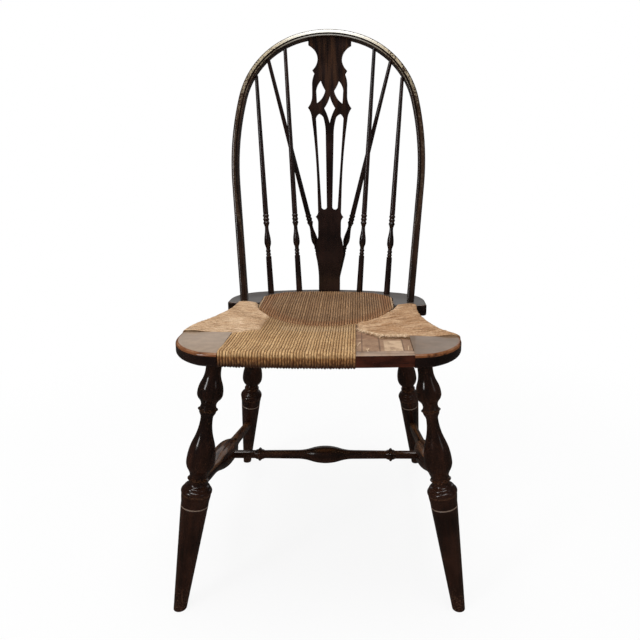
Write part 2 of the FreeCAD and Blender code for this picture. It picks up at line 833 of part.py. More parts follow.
dowel_rods = []
rail_mid_reach = "-(Worked.joint_reach - Sizes.rush_wrap - Sizes.front_rail_deep / 2)"
front_rail_holes = []
side_joint_half = "(Sizes.corner_half - Sizes.rush_wrap - Sizes.side_rail_wide / 2)"
side_rail_holes = {"left": [], "right": []}
crescent_holes = []
for side_name, side in SIDES:
    outline = corner_outline(side_name)
    if side == "-1":
        outline = mirrored(outline)
    blank = pad("corner_block_%s_blank" % side_name, SEAT, "XY_Plane", outline,
                "Sizes.block_thick", down=True)
    doc.recompute()
    outer = number("Sizes.joint_half") + EDGE_ROOM
    back = -number("Sizes.block_back_%s" % side_name) - EDGE_ROOM

    def outside(edge, height):
        box = edge.BoundBox
        reach = max(abs(box.XMin), abs(box.XMax))
        return level(edge, height) and reach > outer and box.YMin < back

    soften(blank, lambda edge: outside(edge, 0.0), "Sizes.arris_top",
           "corner_block_%s_arris" % side_name)
    thick = number("Sizes.block_thick")
    soften(blank, lambda edge: outside(edge, -thick), "Sizes.arris_under",
           "corner_block_%s_under" % side_name)
    holes = []
    for step, offset in (("a", "-Sizes.dowel_pitch / 2"), ("b", "Sizes.dowel_pitch / 2")):
        rod, hole = dowel(
            "front_dowel_%s_%s" % (side_name, step),
            lying("%s * Sizes.joint_half" % side, "%s + %s" % (rail_mid_reach, offset), MID_THICK),
        )
        dowel_rods.append(rod)
        holes.append(hole)
        front_rail_holes.append(hole)
    rod, hole = dowel(
        "side_dowel_%s" % side_name,
        running_back("%s * %s" % (side, side_joint_half), "-Sizes.block_back_%s" % side_name, MID_THICK),
    )
    dowel_rods.append(rod)
    holes.append(hole)
    side_rail_holes[side_name].append(hole)
    neck = "(Sizes.wing_neck_half_%s - Sizes.rush_wrap - Sizes.side_rail_wide / 2)" % side_name
    rod, hole = dowel(
        "neck_dowel_%s" % side_name,
        running_back("%s * %s" % (side, neck), "Sizes.ear_front_%s" % side_name, MID_THICK),
        "Sizes.short_dowel_long",
    )
    dowel_rods.append(rod)
    side_rail_holes[side_name].append(hole)
    crescent_holes.append(hole)
    name = "corner_block_" + side_name
    finished(cut(name, blank, holes + [leg_sockets["front"][side_name]]), name)

# Front rail, bowed like the front edge
RAIL_TOP = shifted(SEAT, z="-Sizes.rail_drop")
front_rail_plan = [
    ("-Sizes.joint_half", "-(Worked.joint_reach - Sizes.rush_wrap)", "Sizes.front_sag"),
    ("Sizes.joint_half", "-(Worked.joint_reach - Sizes.rush_wrap)", None),
    ("Sizes.joint_half", "-(Worked.joint_reach - Sizes.rush_wrap - Sizes.front_rail_deep)",
     "-Sizes.front_sag"),
    ("-Sizes.joint_half", "-(Worked.joint_reach - Sizes.rush_wrap - Sizes.front_rail_deep)", None),
]
front_rail_blank = pad("front_rail_blank", RAIL_TOP, "XY_Plane", front_rail_plan,
                       "Sizes.rail_thick", down=True)
finished(cut("front_rail", front_rail_blank, front_rail_holes), "front_rail")


# Side rails, drawn in where the seat narrows to the back
def wing(side_name, inset, room="0"):
    """The seat's hollowed side, inset from the outside of the rush, from front to back."""
    def own(alias):
        return "Sizes.%s_%s" % (alias, side_name)

    return [
        ("Sizes.corner_half - (%s)" % inset, "-(%s - %s)" % (own("block_back"), room), own("wing_bulge")),
        ("%s - (%s)" % (own("wing_turn_half"), inset), "-" + own("wing_turn_reach"),
         "-" + own("wing_hollow")),
        ("%s - (%s)" % (own("wing_neck_half"), inset), "%s - %s" % (own("ear_front"), room), None),
    ]


for side_name, side in SIDES:
    outer = wing(side_name, "Sizes.rush_wrap")
    inner = wing(side_name, "Sizes.rush_wrap + Sizes.side_rail_wide")
    back_run = [
        (inner[2][0], inner[2][1], "Sizes.wing_hollow_" + side_name),
        (inner[1][0], inner[1][1], "-Sizes.wing_bulge_" + side_name),
        (inner[0][0], inner[0][1], None),
    ]
    outline = outer + back_run
    if side == "-1":
        outline = mirrored(outline)
    name = "side_rail_" + side_name
    blank = pad(name + "_blank", RAIL_TOP, "XY_Plane", outline, "Sizes.rail_thick", down=True)
    finished(cut(name, blank, side_rail_holes[side_name]), name)

# Bow blank, needed before the crescent and the splat
work("bow_line_x", "Sizes.bow_foot_half + Sizes.bow_straight * sin(Sizes.bow_splay)")
work("bow_line_y", "Sizes.bow_straight * cos(Sizes.bow_splay)")
work("bow_turned_in", "Sizes.bow_side_turn - Sizes.bow_splay")
work("bow_side_x", "bow_line_x - Sizes.bow_side_radius * (cos(Sizes.bow_splay) - cos(bow_turned_in))")
work("bow_side_y", "bow_line_y + Sizes.bow_side_radius * (sin(Sizes.bow_splay) + sin(bow_turned_in))")
work("bow_crown_from", "bow_turned_in + Sizes.bow_shoulder_turn")
work("bow_end_x",
     "bow_side_x - Sizes.bow_shoulder_radius * (cos(bow_turned_in) - cos(bow_crown_from))")
work("bow_end_y",
     "bow_side_y + Sizes.bow_shoulder_radius * (sin(bow_crown_from) - sin(bow_turned_in))")
work("bow_crown_radius", "bow_end_x / cos(bow_crown_from)")
work("bow_top", "bow_end_y + bow_crown_radius * (1 - sin(bow_crown_from))")
work("bow_start_x", "Sizes.bow_foot_half - Sizes.bow_below * tan(Sizes.bow_splay)")
doc.recompute()

BOW = lean("Sizes.bow_foot_back", "Sizes.bow_lean")
bow_blank = doc.addObject("PartDesign::Body", "bow_bent")
bow_path = new_sketch(bow_blank, "bow_path", "XZ_Plane")


def bow_bulge(radius, turn):
    """How far an arc of this radius and turn stands off its chord."""
    return "(%s) * (1 - cos((%s) / 2))" % (radius, turn)


bow_points = [
    ("Worked.bow_start_x", "-Sizes.bow_below", None),
    ("Worked.bow_line_x", "Worked.bow_line_y", bow_bulge("Sizes.bow_side_radius", "Sizes.bow_side_turn")),
    ("Worked.bow_side_x", "Worked.bow_side_y",
     bow_bulge("Sizes.bow_shoulder_radius", "Sizes.bow_shoulder_turn")),
    ("Worked.bow_end_x", "Worked.bow_end_y",
     bow_bulge("Worked.bow_crown_radius", "180 - 2 * Worked.bow_crown_from")),
    ("-Worked.bow_end_x", "Worked.bow_end_y",
     bow_bulge("Sizes.bow_shoulder_radius", "Sizes.bow_shoulder_turn")),
    ("-Worked.bow_side_x", "Worked.bow_side_y",
     bow_bulge("Sizes.bow_side_radius", "Sizes.bow_side_turn")),
    ("-Worked.bow_line_x", "Worked.bow_line_y", None),
    ("-Worked.bow_start_x", "-Sizes.bow_below", None),
]


def draw_path(sketch, vertices):
    """An open run of lines and outward arcs through vertices (x, y, bulge)."""
    points = [FreeCAD.Vector(number(x), number(y), 0) for x, y, bulge in vertices]
    ties = []
    for place in range(len(vertices) - 1):
        x, y, bulge = vertices[place]
        here = points[place]
        there = points[place + 1]
        if bulge is None:
            sketch.addGeometry(Part.LineSegment(here, there), False)
        else:
            chord = there - here
            side = FreeCAD.Vector(chord.y, -chord.x, 0).normalize()
            middle = (here + there) * 0.5 + side * number(bulge)
            sketch.addGeometry(Part.Arc(here, middle, there), False)
            radius = arc_radius((x, y), vertices[place + 1], bulge)
            ties.append((Sketcher.Constraint("Radius", place, sketch.Geometry[place].Radius), radius))
        ties.append((Sketcher.Constraint("DistanceX", -1, 1, place, 1, here.x), x))
        ties.append((Sketcher.Constraint("DistanceY", -1, 1, place, 1, here.y), y))
        if place:
            ties.append((Sketcher.Constraint("Coincident", place - 1, 2, place, 1), None))
    last = len(vertices) - 2
    end = points[-1]
    ties.append((Sketcher.Constraint("DistanceX", -1, 1, last, 2, end.x), vertices[-1][0]))
    ties.append((Sketcher.Constraint("DistanceY", -1, 1, last, 2, end.y), vertices[-1][1]))
    bind_all(sketch, ties)


draw_path(bow_path, bow_points)
bow_section = new_sketch(bow_blank, "bow_section", "XY_Plane")
bow_section.setExpression("AttachmentOffset.Base.z", "-Sizes.bow_below")
section_in = "Worked.bow_start_x - Sizes.bow_wide / 2"
section_out = "Worked.bow_start_x + Sizes.bow_wide / 2"
section_deep = "Sizes.bow_deep / 2"
quirk = "%s + Sizes.bow_quirk_in" % section_in
corner = "Sizes.bow_round"
corner_rise = "Sizes.bow_round * (1 - sqrt(0.5))"
draw_loop(bow_section, [
    ("%s + %s / 2" % (section_in, corner), "-%s" % section_deep, None),
    ("%s - Sizes.bow_quirk_wide / 2" % quirk, "-%s" % section_deep, None),
    (quirk, "-%s + Sizes.bow_quirk_deep" % section_deep, None),
    ("%s + Sizes.bow_quirk_wide / 2" % quirk, "-%s" % section_deep, None),
    ("%s - %s" % (section_out, corner), "-%s" % section_deep, corner_rise),
    (section_out, "-%s + %s" % (section_deep, corner), None),
    (section_out, "%s - %s" % (section_deep, corner), corner_rise),
    ("%s - %s" % (section_out, corner), section_deep, None),
    ("%s + %s" % (section_in, corner), section_deep, corner_rise),
    (section_in, "%s - %s" % (section_deep, corner), None),
    (section_in, "-%s + %s / 2" % (section_deep, corner), corner_rise + " / 2"),
])
bow_pipe = bow_blank.newObject("PartDesign::AdditivePipe", "bow_pipe")
bow_pipe.Profile = (bow_section, [""])
bow_pipe.Spine = (bow_path, [""])
bow_blank.setExpression("Placement", BOW)

# Spindles and braces, all from one turning


def spindle_profile(long, tenon):
    up = []
    up.append(("-(%s)" % tenon, "Sizes.spindle_foot_radius", "line"))
    up.append(("0", "Sizes.spindle_foot_radius", "line"))
    up.append(("Sizes.spindle_shaft_up", "Sizes.spindle_shaft_radius", "line"))
    groove = "Sizes.spindle_groove_radius"
    for step in range(BEADS):
        low = "Sizes.spindle_shaft_up + Sizes.spindle_bead_step + %d * Sizes.spindle_bead_wide" % step
        if step == 0:
            up.append((low, groove, "line"))
        up.append(("%s + Sizes.spindle_bead_wide / 2" % low, "Sizes.spindle_bead_radius", "ogee"))
        up.append(("%s + Sizes.spindle_bead_wide" % low, groove, "ogee"))
    up.append(("Sizes.spindle_vase_up", "Sizes.spindle_vase_radius", "ogee"))
    up.append(("Sizes.spindle_neck_up", "Sizes.spindle_neck_radius", "ogee"))
    groove = "Sizes.spindle_ring_groove"
    up.append(("Sizes.spindle_ring_up", groove, "line"))
    for step in range(RINGS):
        low = "Sizes.spindle_ring_up + %d * Sizes.spindle_ring_wide" % step
        up.append(("%s + Sizes.spindle_ring_wide / 2" % low, "Sizes.spindle_ring_radius", "ogee"))
        up.append(("%s + Sizes.spindle_ring_wide" % low, groove, "ogee"))
    top = "Sizes.spindle_ring_up + %d * Sizes.spindle_ring_wide" % RINGS
    up.append(("%s + Sizes.spindle_ring_step" % top, "Sizes.spindle_upper_radius", "line"))
    up.append(("%s + Sizes.spindle_tip_tenon" % long, "Sizes.spindle_tip_radius", "line"))
    return up


bow_cutters = []
tail_cutters = []
for kind, count_name in (("outer", "spindle_outer"), ("inner", "spindle_inner"), ("brace", "brace_spindle")):
    for side_name, side in SIDES:
        name = "%s_%s" % (count_name, side_name)
        line = lines[name]
        long = "Worked.%s_long" % name
        tenon = "Sizes.brace_foot_tenon" if kind == "brace" else "Sizes.spindle_foot_tenon"
        finished(turned(name, aim(*line), spindle_profile(long, tenon)), name)
        foot_hole = socket(
            name + "_foot_hole", aim(*line), "Sizes.spindle_foot_radius",
            "-(%s) - Sizes.dowel_room" % tenon, "4 * (%s)" % tenon,
        )
        if kind == "brace":
            tail_cutters.append(foot_hole)
        else:
            crescent_holes.append(foot_hole)
        work(name + "_tip_radius", "Sizes.spindle_tip_radius + Sizes.spindle_tip_room")
        bow_cutters.append(socket(
            name + "_tip_hole", aim(*line), "Worked.%s_tip_radius" % name,
            "%s - 3 * Sizes.spindle_tip_tenon" % long,
            "4 * Sizes.spindle_tip_tenon + Sizes.dowel_room",
        ))

# Splat
SPLAT = lean("Sizes.splat_back", "Sizes.splat_lean")
splat_right = [
    ("Sizes.splat_tongue_half", "-Sizes.splat_tongue_deep", None),
    ("Sizes.splat_tongue_half", "0", None),
    ("Sizes.splat_base_half", "0", None),
    ("Sizes.splat_base_half", "Sizes.splat_foot_up", "-Sizes.splat_base_hollow"),
    ("Sizes.splat_vase_half", "Sizes.splat_vase_up", "Sizes.splat_vase_round"),
    ("Sizes.splat_neck_half", "Sizes.splat_throat_up", None),
    ("Sizes.splat_neck_half", "Sizes.splat_neck_up", "-Sizes.splat_neck_hollow"),
    ("Sizes.splat_barb_half", "Sizes.splat_barb_up", "-Sizes.splat_barb_hollow"),
    ("Sizes.splat_low_half", "Sizes.splat_low_up", None),
    ("Sizes.splat_mid_half", "Sizes.splat_mid_up", "-Sizes.splat_mid_hollow"),
    ("Sizes.splat_stem_half", "Sizes.splat_stem_up", None),
    ("Sizes.splat_lap_half", "Sizes.splat_lap_up", "-Sizes.splat_lap_hollow"),
    ("Sizes.splat_point_half", "Sizes.splat_point_up", "-Sizes.splat_point_hollow"),
    ("Sizes.splat_cheek_half", "Sizes.splat_point_low", None),
    ("Sizes.splat_cheek_half", "Sizes.splat_cheek_up", "Sizes.splat_cheek_round"),
    ("Sizes.splat_notch_half", "Sizes.splat_notch_up", None),
    ("Sizes.splat_ear_half", "Sizes.splat_ear_up", "-Sizes.splat_ear_hollow"),
    ("Sizes.splat_waist_half", "Sizes.splat_waist_up", "-Sizes.splat_waist_hollow"),
    ("Sizes.splat_cap_half", "Sizes.splat_cap_up", None),
    ("Sizes.splat_cap_half", "Sizes.splat_tall", None),
]


def both_halves(right):
    """Add the mirror image of a half outline, so that the loop closes on the other side."""
    left = []
    for place in range(len(right) - 1, -1, -1):
        x, y, skipped = right[place]
        bulge = right[place - 1][2] if place else None
        left.append(("-(%s)" % x, y, bulge))
    return right + left


def tear_outline(side):
    outline = [
        ("Sizes.tear_top_half", "Sizes.tear_top", "-Sizes.tear_bulge / 2"),
        ("Sizes.tear_inner_half", "Sizes.tear_wide_up", "Sizes.tear_bulge * 2"),
        ("Sizes.tear_foot_half", "Sizes.tear_foot", None),
        ("Sizes.tear_outer_half", "Sizes.tear_wide_up", "Sizes.tear_bulge"),
    ]
    return outline if side == "1" else mirrored(outline)


def slot_outline(side):
    outline = [
        ("Sizes.slot_top_half", "Sizes.slot_top", "Sizes.slot_round"),
        ("Sizes.slot_inner_half", "Sizes.slot_inner_up", "Sizes.slot_round"),
        ("Sizes.slot_throat_half", "Sizes.slot_throat_up", None),
        ("Sizes.slot_foot_inner", "Sizes.slot_foot_up", "Sizes.slot_foot_round"),
        ("Sizes.slot_foot_outer", "Sizes.slot_foot_up", None),
        ("Sizes.slot_outer_half", "Sizes.slot_outer_up", "Sizes.slot_round"),
    ]
    return outline if side == "1" else mirrored(outline)


diamond_outline = [
    ("0", "Sizes.diamond_top", "-Sizes.diamond_hollow"),
    ("-Sizes.diamond_half", "Sizes.diamond_side", "-Sizes.diamond_hollow"),
    ("0", "Sizes.diamond_foot", "-Sizes.diamond_hollow"),
    ("Sizes.diamond_half", "Sizes.diamond_side", "-Sizes.diamond_hollow"),
]

splat_blank = pad("splat_board", SPLAT, "XZ_Plane", both_halves(splat_right),
                  "Sizes.splat_thick", midplane=True)
for name, outline in (
    ("tear_left", tear_outline("-1")),
    ("tear_right", tear_outline("1")),
    ("slot_left", slot_outline("-1")),
    ("slot_right", slot_outline("1")),
    ("diamond", diamond_outline),
):
    piercing = new_sketch(splat_blank, "piercing_" + name, "XZ_Plane")
    draw_loop(piercing, outline)
    pocket = splat_blank.newObject("PartDesign::Pocket", "sawn_" + name)
    pocket.Profile = (piercing, [""])
    pocket.Midplane = True
    pocket.Refine = False
    pocket.setExpression("Length", "4 * Sizes.splat_thick")

splat_fitted = cut("splat_fitted", splat_blank, [bow_blank])
work("splat_tongue_top", "Sizes.splat_tall - Sizes.splat_top_low")
doc.recompute()
TONGUE = shifted(SPLAT, z="Sizes.splat_top_low")
splat_tongue = block("splat_tongue", TONGUE, "2 * Sizes.splat_top_half", "Sizes.splat_top_thick",
                     "Worked.splat_tongue_top")
finished(fuse("splat", [splat_fitted, splat_tongue]), "splat")
bow_cutters.append(block(
    "splat_tongue_mortise", TONGUE, "2 * Sizes.splat_top_half + 2 * Sizes.glue_gap",
    "Sizes.splat_top_thick + 2 * Sizes.glue_gap", "Worked.splat_tongue_top + Sizes.dowel_room",
))
crescent_holes.append(block(
    "splat_foot_mortise",
    shifted(SPLAT, z="-Sizes.splat_tongue_deep - Sizes.dowel_room"),
    "2 * Sizes.splat_tongue_half + 2 * Sizes.glue_gap",
    "Sizes.splat_thick + 2 * Sizes.glue_gap",
    "Sizes.splat_tongue_deep + 2 * Sizes.dowel_room",
))

# Bow, trimmed to the seat and given round tenons
seat_trim = block(
    "seat_trim", shifted(SEAT, y="Sizes.bow_foot_back", z="-4 * Sizes.bow_below"),
    "4 * Sizes.bow_foot_half", "8 * Sizes.bow_deep", "4 * Sizes.bow_below",
)
bow_trimmed = cut("bow_trimmed", bow_blank, [seat_trim])
bow_tenons = []
for side_name, side in SIDES:
    foot = bow_point("%s * Sizes.bow_foot_half" % side, "0")
    ahead = bow_point("%s * Worked.bow_line_x" % side, "Worked.bow_line_y")
    bow_tenons.append(peg(
        "bow_tenon_" + side_name, aim(foot, ahead), "Sizes.bow_tenon_radius",
        "-Sizes.bow_tenon_deep", "Sizes.bow_tenon_deep + Sizes.bow_below",
    ))
    crescent_holes.append(socket(
        "bow_socket_" + side_name, aim(foot, ahead), "Sizes.bow_tenon_radius",
        "-Sizes.bow_tenon_deep - Sizes.dowel_room", "2 * Sizes.bow_tenon_deep",
    ))
bow_whole = fuse("bow_whole", [bow_trimmed] + bow_tenons)
finished(cut("bow", bow_whole, bow_cutters), "bow")

# Rear crescent, with ears at both ends
def ear_outline(side_name):
    """One end of the crescent, from the slot round to the back."""
    front = "Sizes.ear_front_" + side_name
    return [
        ("Sizes.slot_half", front, None),
        ("Sizes.ear_half - Sizes.ear_round", front, "Sizes.ear_round * (1 - sqrt(0.5))"),
        ("Sizes.ear_half", "%s + Sizes.ear_round" % front, None),
        ("Sizes.ear_half", "Sizes.ear_back", "Sizes.ear_bulge"),
        ("Sizes.crescent_half", "Sizes.crescent_corner", None),
    ]


ear_right = ear_outline("right")
ear_left = mirrored(ear_outline("left"))
ear_right[-1] = (ear_right[-1][0], ear_right[-1][1], "Sizes.crescent_back - Sizes.crescent_corner")
inner_edge = [
    ("-Sizes.slot_half", "Sizes.slot_side", "-Sizes.slot_bulge"),
    ("-Sizes.slot_bend_half", "Sizes.slot_bend", "-(Sizes.slot_back - Sizes.slot_bend)"),
    ("Sizes.slot_bend_half", "Sizes.slot_bend", "-Sizes.slot_bulge"),
    ("Sizes.slot_half", "Sizes.slot_side", None),
]
crescent_blank = pad("rear_block_blank", SEAT, "XY_Plane", ear_right + ear_left + inner_edge,
                     "Sizes.block_thick", down=True)
doc.recompute()
crescent_thick = number("Sizes.block_thick")
slot_limit = number("Sizes.slot_half") + EDGE_ROOM
slot_rear = number("Sizes.slot_back") + EDGE_ROOM


def crescent_outside(edge, height):
    box = edge.BoundBox
    wide = max(abs(box.XMin), abs(box.XMax))
    return level(edge, height) and (wide > slot_limit or box.YMax > slot_rear)


soften(crescent_blank, lambda edge: crescent_outside(edge, 0.0), "Sizes.arris_top / 2", "rear_block_arris")
soften(crescent_blank, lambda edge: crescent_outside(edge, -crescent_thick), "Sizes.arris_under / 2",
       "rear_block_under")

# Rear rail, carried between the ears just in front of the crescent
rail_inset = "(Sizes.slot_gap + Sizes.rush_wrap)"
foot_low = "Sizes.ear_front_left + Sizes.ear_round / 2"
foot_high = "%s + Sizes.rear_rail_foot" % foot_low
rear_rail_right = [
    ("Sizes.slot_half - %s - Sizes.rear_rail_deep" % rail_inset, foot_low, None),
    ("Sizes.slot_half - Sizes.glue_gap", foot_low, None),
    ("Sizes.slot_half - Sizes.glue_gap", foot_high, None),
    ("Sizes.slot_half - %s" % rail_inset, foot_high, None),
    ("Sizes.slot_half - %s" % rail_inset, "Sizes.slot_side - Sizes.rear_rail_side_drop", "Sizes.slot_bulge"),
    ("Sizes.slot_bend_half - %s / 2" % rail_inset, "Sizes.slot_bend - Sizes.rear_rail_bend_drop",
     "Sizes.slot_back - Sizes.slot_bend"),
]
rear_rail_left = []
for place in range(len(rear_rail_right) - 1, -1, -1):
    x, y, skipped = rear_rail_right[place]
    bulge = rear_rail_right[place - 1][2] if place else None
    rear_rail_left.append(("-(%s)" % x, y, bulge))
rear_rail_inner = [
    ("-(Sizes.slot_half - %s - Sizes.rear_rail_deep)" % rail_inset,
     "Sizes.slot_side - Sizes.rear_rail_side_fall", "-Sizes.rear_rail_hollow"),
    ("-(Sizes.slot_bend_half - %s / 2 - Sizes.rear_rail_bend_in)" % rail_inset,
     "Sizes.slot_bend - %s - Sizes.rear_rail_deep" % rail_inset, "-Sizes.rear_rail_bow"),
    ("Sizes.slot_bend_half - %s / 2 - Sizes.rear_rail_bend_in" % rail_inset,
     "Sizes.slot_bend - %s - Sizes.rear_rail_deep" % rail_inset, "-Sizes.rear_rail_hollow"),
    ("Sizes.slot_half - %s - Sizes.rear_rail_deep" % rail_inset,
     "Sizes.slot_side - Sizes.rear_rail_side_fall", None),
]
rear_rail_blank = pad("rear_rail_blank", RAIL_TOP, "XY_Plane",
                      rear_rail_right + rear_rail_left + rear_rail_inner, "Sizes.rail_thick", down=True)
rear_rail_holes = []
for side_name, side in SIDES:
    rod, hole = dowel(
        "ear_dowel_" + side_name,
        lying("%s * Sizes.slot_half" % side, "%s + Sizes.rear_rail_foot / 2" % foot_low, MID_THICK),
    )
    dowel_rods.append(rod)
    rear_rail_holes.append(hole)
    crescent_holes.append(hole)
finished(cut("rear_rail", rear_rail_blank, rear_rail_holes), "rear_rail")

# Tailpiece that carries the two braces
tail_front = "Sizes.crescent_back - Sizes.tail_scoop"
tail_plan = [
    ("-Sizes.tail_half", tail_front, None),
    ("Sizes.tail_half", tail_front, None),
    ("Sizes.tail_tip_half", "Sizes.tail_reach - Sizes.tail_round",
     "Sizes.tail_round * (1 - sqrt(0.5))"),
    ("Sizes.tail_tip_half - Sizes.tail_round", "Sizes.tail_reach", None),
    ("-(Sizes.tail_tip_half - Sizes.tail_round)", "Sizes.tail_reach",
     "Sizes.tail_round * (1 - sqrt(0.5))"),
    ("-Sizes.tail_tip_half", "Sizes.tail_reach - Sizes.tail_round", None),
]
tail_blank = pad("tailpiece_blank", SEAT, "XY_Plane", tail_plan, "Sizes.block_thick", down=True)
tail_fitted = cut("tailpiece_fitted", tail_blank, [crescent_blank])
tail_holes = []
for side_name, side in SIDES:
    rod, hole = dowel(
        "tail_dowel_" + side_name,
        running_back("%s * Sizes.tail_dowel_half" % side, "Sizes.crescent_back", MID_THICK),
        "Sizes.short_dowel_long",
    )
    dowel_rods.append(rod)
    tail_holes.append(hole)
    crescent_holes.append(hole)
finished(cut("tailpiece", tail_fitted, tail_holes + tail_cutters), "tailpiece")
finished(
    cut("rear_block", crescent_blank,
        crescent_holes + [leg_sockets["rear"]["left"], leg_sockets["rear"]["right"]]),
    "rear_block",
)

# Dowels of the seat joints, one group of loose pins
dowel_group = doc.addObject("Part::Compound", "seat_dowels")
dowel_group.Links = dowel_rods
finished(dowel_group, "seat_dowels")

# Rush, woven round the rails; the strands are finer than this model goes
RUSH_TOP = shifted(SEAT, z="Worked.rush_top")
work("dish_radius", "(Sizes.dish_wide^2 + Sizes.dish_deep^2) / (2 * Sizes.dish_deep)")
work("under_radius", "(Sizes.dish_wide^2 + Sizes.under_deep^2) / (2 * Sizes.under_deep)")
work("crease_at_end", "Sizes.crease_centre - sqrt(Sizes.crease_radius^2 - Sizes.rush_end^2)")
work("crease_left", "Sizes.crease_centre - sqrt(Sizes.crease_radius^2 - Sizes.rush_left_half^2)")
for side_name, side in SIDES:
    work("crease_half_" + side_name,
         "sqrt(Sizes.crease_radius^2 - (Sizes.crease_centre - Sizes.ear_front_%s)^2)" % side_name)
work("crease_tip", "Sizes.crease_centre - Sizes.crease_radius")
doc.recompute()


def dish(name, radius, height):
    """A great ball that hollows the rush in the middle of the seat."""
    ball = doc.addObject("Part::Sphere", name)
    ball.setExpression("Radius", radius)
    ball.setExpression("Placement", shifted(SEAT, y="-Sizes.dish_centre", z=height))
    return ball


dish_top = dish("dish_top", "Worked.dish_radius",
                "Worked.rush_top + Worked.dish_radius - Sizes.dish_deep")
dish_under = dish("dish_under", "Worked.under_radius",
                  "Worked.rush_top - Worked.rush_thick - Worked.under_radius + Sizes.under_deep")
joint = "Sizes.rush_joint / 2"


def crease_bulge(x_from, y_from, x_to, y_to):
    """The bulge of the crease's arc between two of its points."""
    chord = "((%s) - (%s))^2 + ((%s) - (%s))^2" % (x_from, x_to, y_from, y_to)
    return "(Sizes.crease_radius - sqrt(Sizes.crease_radius^2 - (%s) / 4))" % chord


front_face = "-(Worked.joint_reach)"
work("rush_front_bulge",
     "Sizes.front_sag * ((Sizes.joint_half + Sizes.rush_end) / (2 * Sizes.joint_half))^2")
work("rush_end_reach", "Sizes.front_reach - Sizes.front_sag * (Sizes.rush_end / Sizes.joint_half)^2")
left_edge = "-(Sizes.joint_half - %s)" % joint
crease_span = crease_bulge("Sizes.rush_end", "Worked.crease_at_end",
                           "-Sizes.rush_left_half", "Worked.crease_left")
rush_front_plan = [
    (left_edge, front_face, "Worked.rush_front_bulge"),
    ("Sizes.rush_end - %s" % joint, "-Worked.rush_end_reach", None),
    ("Sizes.rush_end - %s" % joint, "Worked.crease_at_end - %s" % joint, "-%s" % crease_span),
    ("-(Sizes.rush_left_half - %s)" % joint, "Worked.crease_left - %s" % joint, None),
    ("-(Sizes.rush_left_half - %s)" % joint, "-Sizes.rush_left_reach", None),
    (left_edge, "-(Sizes.block_back_left - %s)" % joint, None),
]
rear_gap = "Sizes.slot_gap"
rush_rear_plan = [
    ("-(Worked.crease_half_left - %s)" % joint, "Sizes.ear_front_left - %s" % joint,
     crease_bulge("-Worked.crease_half_left", "Sizes.ear_front_left", "0", "Worked.crease_tip")),
    ("0", "Worked.crease_tip + %s" % joint,
     crease_bulge("Worked.crease_half_right", "Sizes.ear_front_right", "0", "Worked.crease_tip")),
    ("Worked.crease_half_right - %s" % joint, "Sizes.ear_front_right - %s" % joint, None),
    ("Sizes.slot_half - %s" % rear_gap, "Sizes.ear_front_right", None),
    ("Sizes.slot_half - %s" % rear_gap, foot_high, None),
    ("Sizes.slot_half - %s" % rear_gap, "Sizes.slot_side", "Sizes.slot_bulge"),
    ("Sizes.slot_bend_half - %s / 2" % rear_gap, "Sizes.slot_bend - %s" % rear_gap,
     "Sizes.slot_back - Sizes.slot_bend"),
    ("-(Sizes.slot_bend_half - %s / 2)" % rear_gap, "Sizes.slot_bend - %s" % rear_gap,
     "Sizes.slot_bulge"),
    ("-(Sizes.slot_half - %s)" % rear_gap, "Sizes.slot_side", None),
    ("-(Sizes.slot_half - %s)" % rear_gap, foot_high, None),
]


def side_rush_plan(side_name, side):
    outer = wing(side_name, "0", joint)
    neck = ("Worked.crease_half_%s + %s" % (side_name, joint), outer[2][1])
    if side == "-1":
        low = ("Sizes.rush_left_half + %s" % joint, "Worked.crease_left")
        inner = [
            (neck[0], neck[1], "-%s" % crease_bulge(neck[0], neck[1], low[0], low[1])),
            (low[0], low[1], None),
            ("Sizes.rush_left_half + %s" % joint, "-Sizes.rush_left_reach", None),
            ("Sizes.joint_half", "-(Sizes.block_back_left - %s)" % joint, None),
        ]
        return mirrored(outer + inner)
    low = ("Sizes.rush_end + %s" % joint, "Worked.crease_at_end")
    inner = [
        (neck[0], neck[1], "-%s" % crease_bulge(neck[0], neck[1], low[0], low[1])),
        (low[0], low[1], None),
        (low[0], "-Sizes.rush_tip_reach", "Sizes.rush_tip_bulge"),
        ("Sizes.rush_fringe_half", "-Sizes.rush_fringe_reach", None),
        ("Sizes.joint_half - Sizes.rush_block_gap", "-Sizes.rush_fringe_reach", None),
        ("Sizes.joint_half - Sizes.rush_block_gap", "-(Sizes.block_back_right - %s)" % joint, None),
    ]
    return outer + inner


work("board_front", "joint_reach - Sizes.rush_wrap - Sizes.front_rail_deep - Sizes.board_room")
board_plan = [
    ("Sizes.rush_end - Sizes.board_tuck", "-Worked.board_front", None),
    ("Sizes.joint_half - Sizes.rush_joint", "-Worked.board_front", None),
    ("Sizes.joint_half - Sizes.rush_joint", "-Sizes.board_back", None),
    ("Sizes.rush_end - Sizes.board_tuck", "-Sizes.board_back", None),
]
board = pad("padding_board", shifted(SEAT, z="-Sizes.board_drop"), "XY_Plane", board_plan,
            "Sizes.board_thick", down=True)
finished(board, "padding_board")

for name, plan, wood in (
    ("rush_front", rush_front_plan, [front_rail_blank, board]),
    ("rush_left", side_rush_plan("left", "-1"), ["side_rail_left_blank"]),
    ("rush_right", side_rush_plan("right", "1"), ["side_rail_right_blank"]),
    ("rush_rear", rush_rear_plan, [rear_rail_blank]),
):
    slab = pad(name + "_slab", RUSH_TOP, "XY_Plane", plan, "Worked.rush_thick", down=True)
    inside = [doc.getObject(item) if isinstance(item, str) else item for item in wood]
    finished(cut(name, slab, inside + [dish_top, dish_under]), name)

doc.recompute()

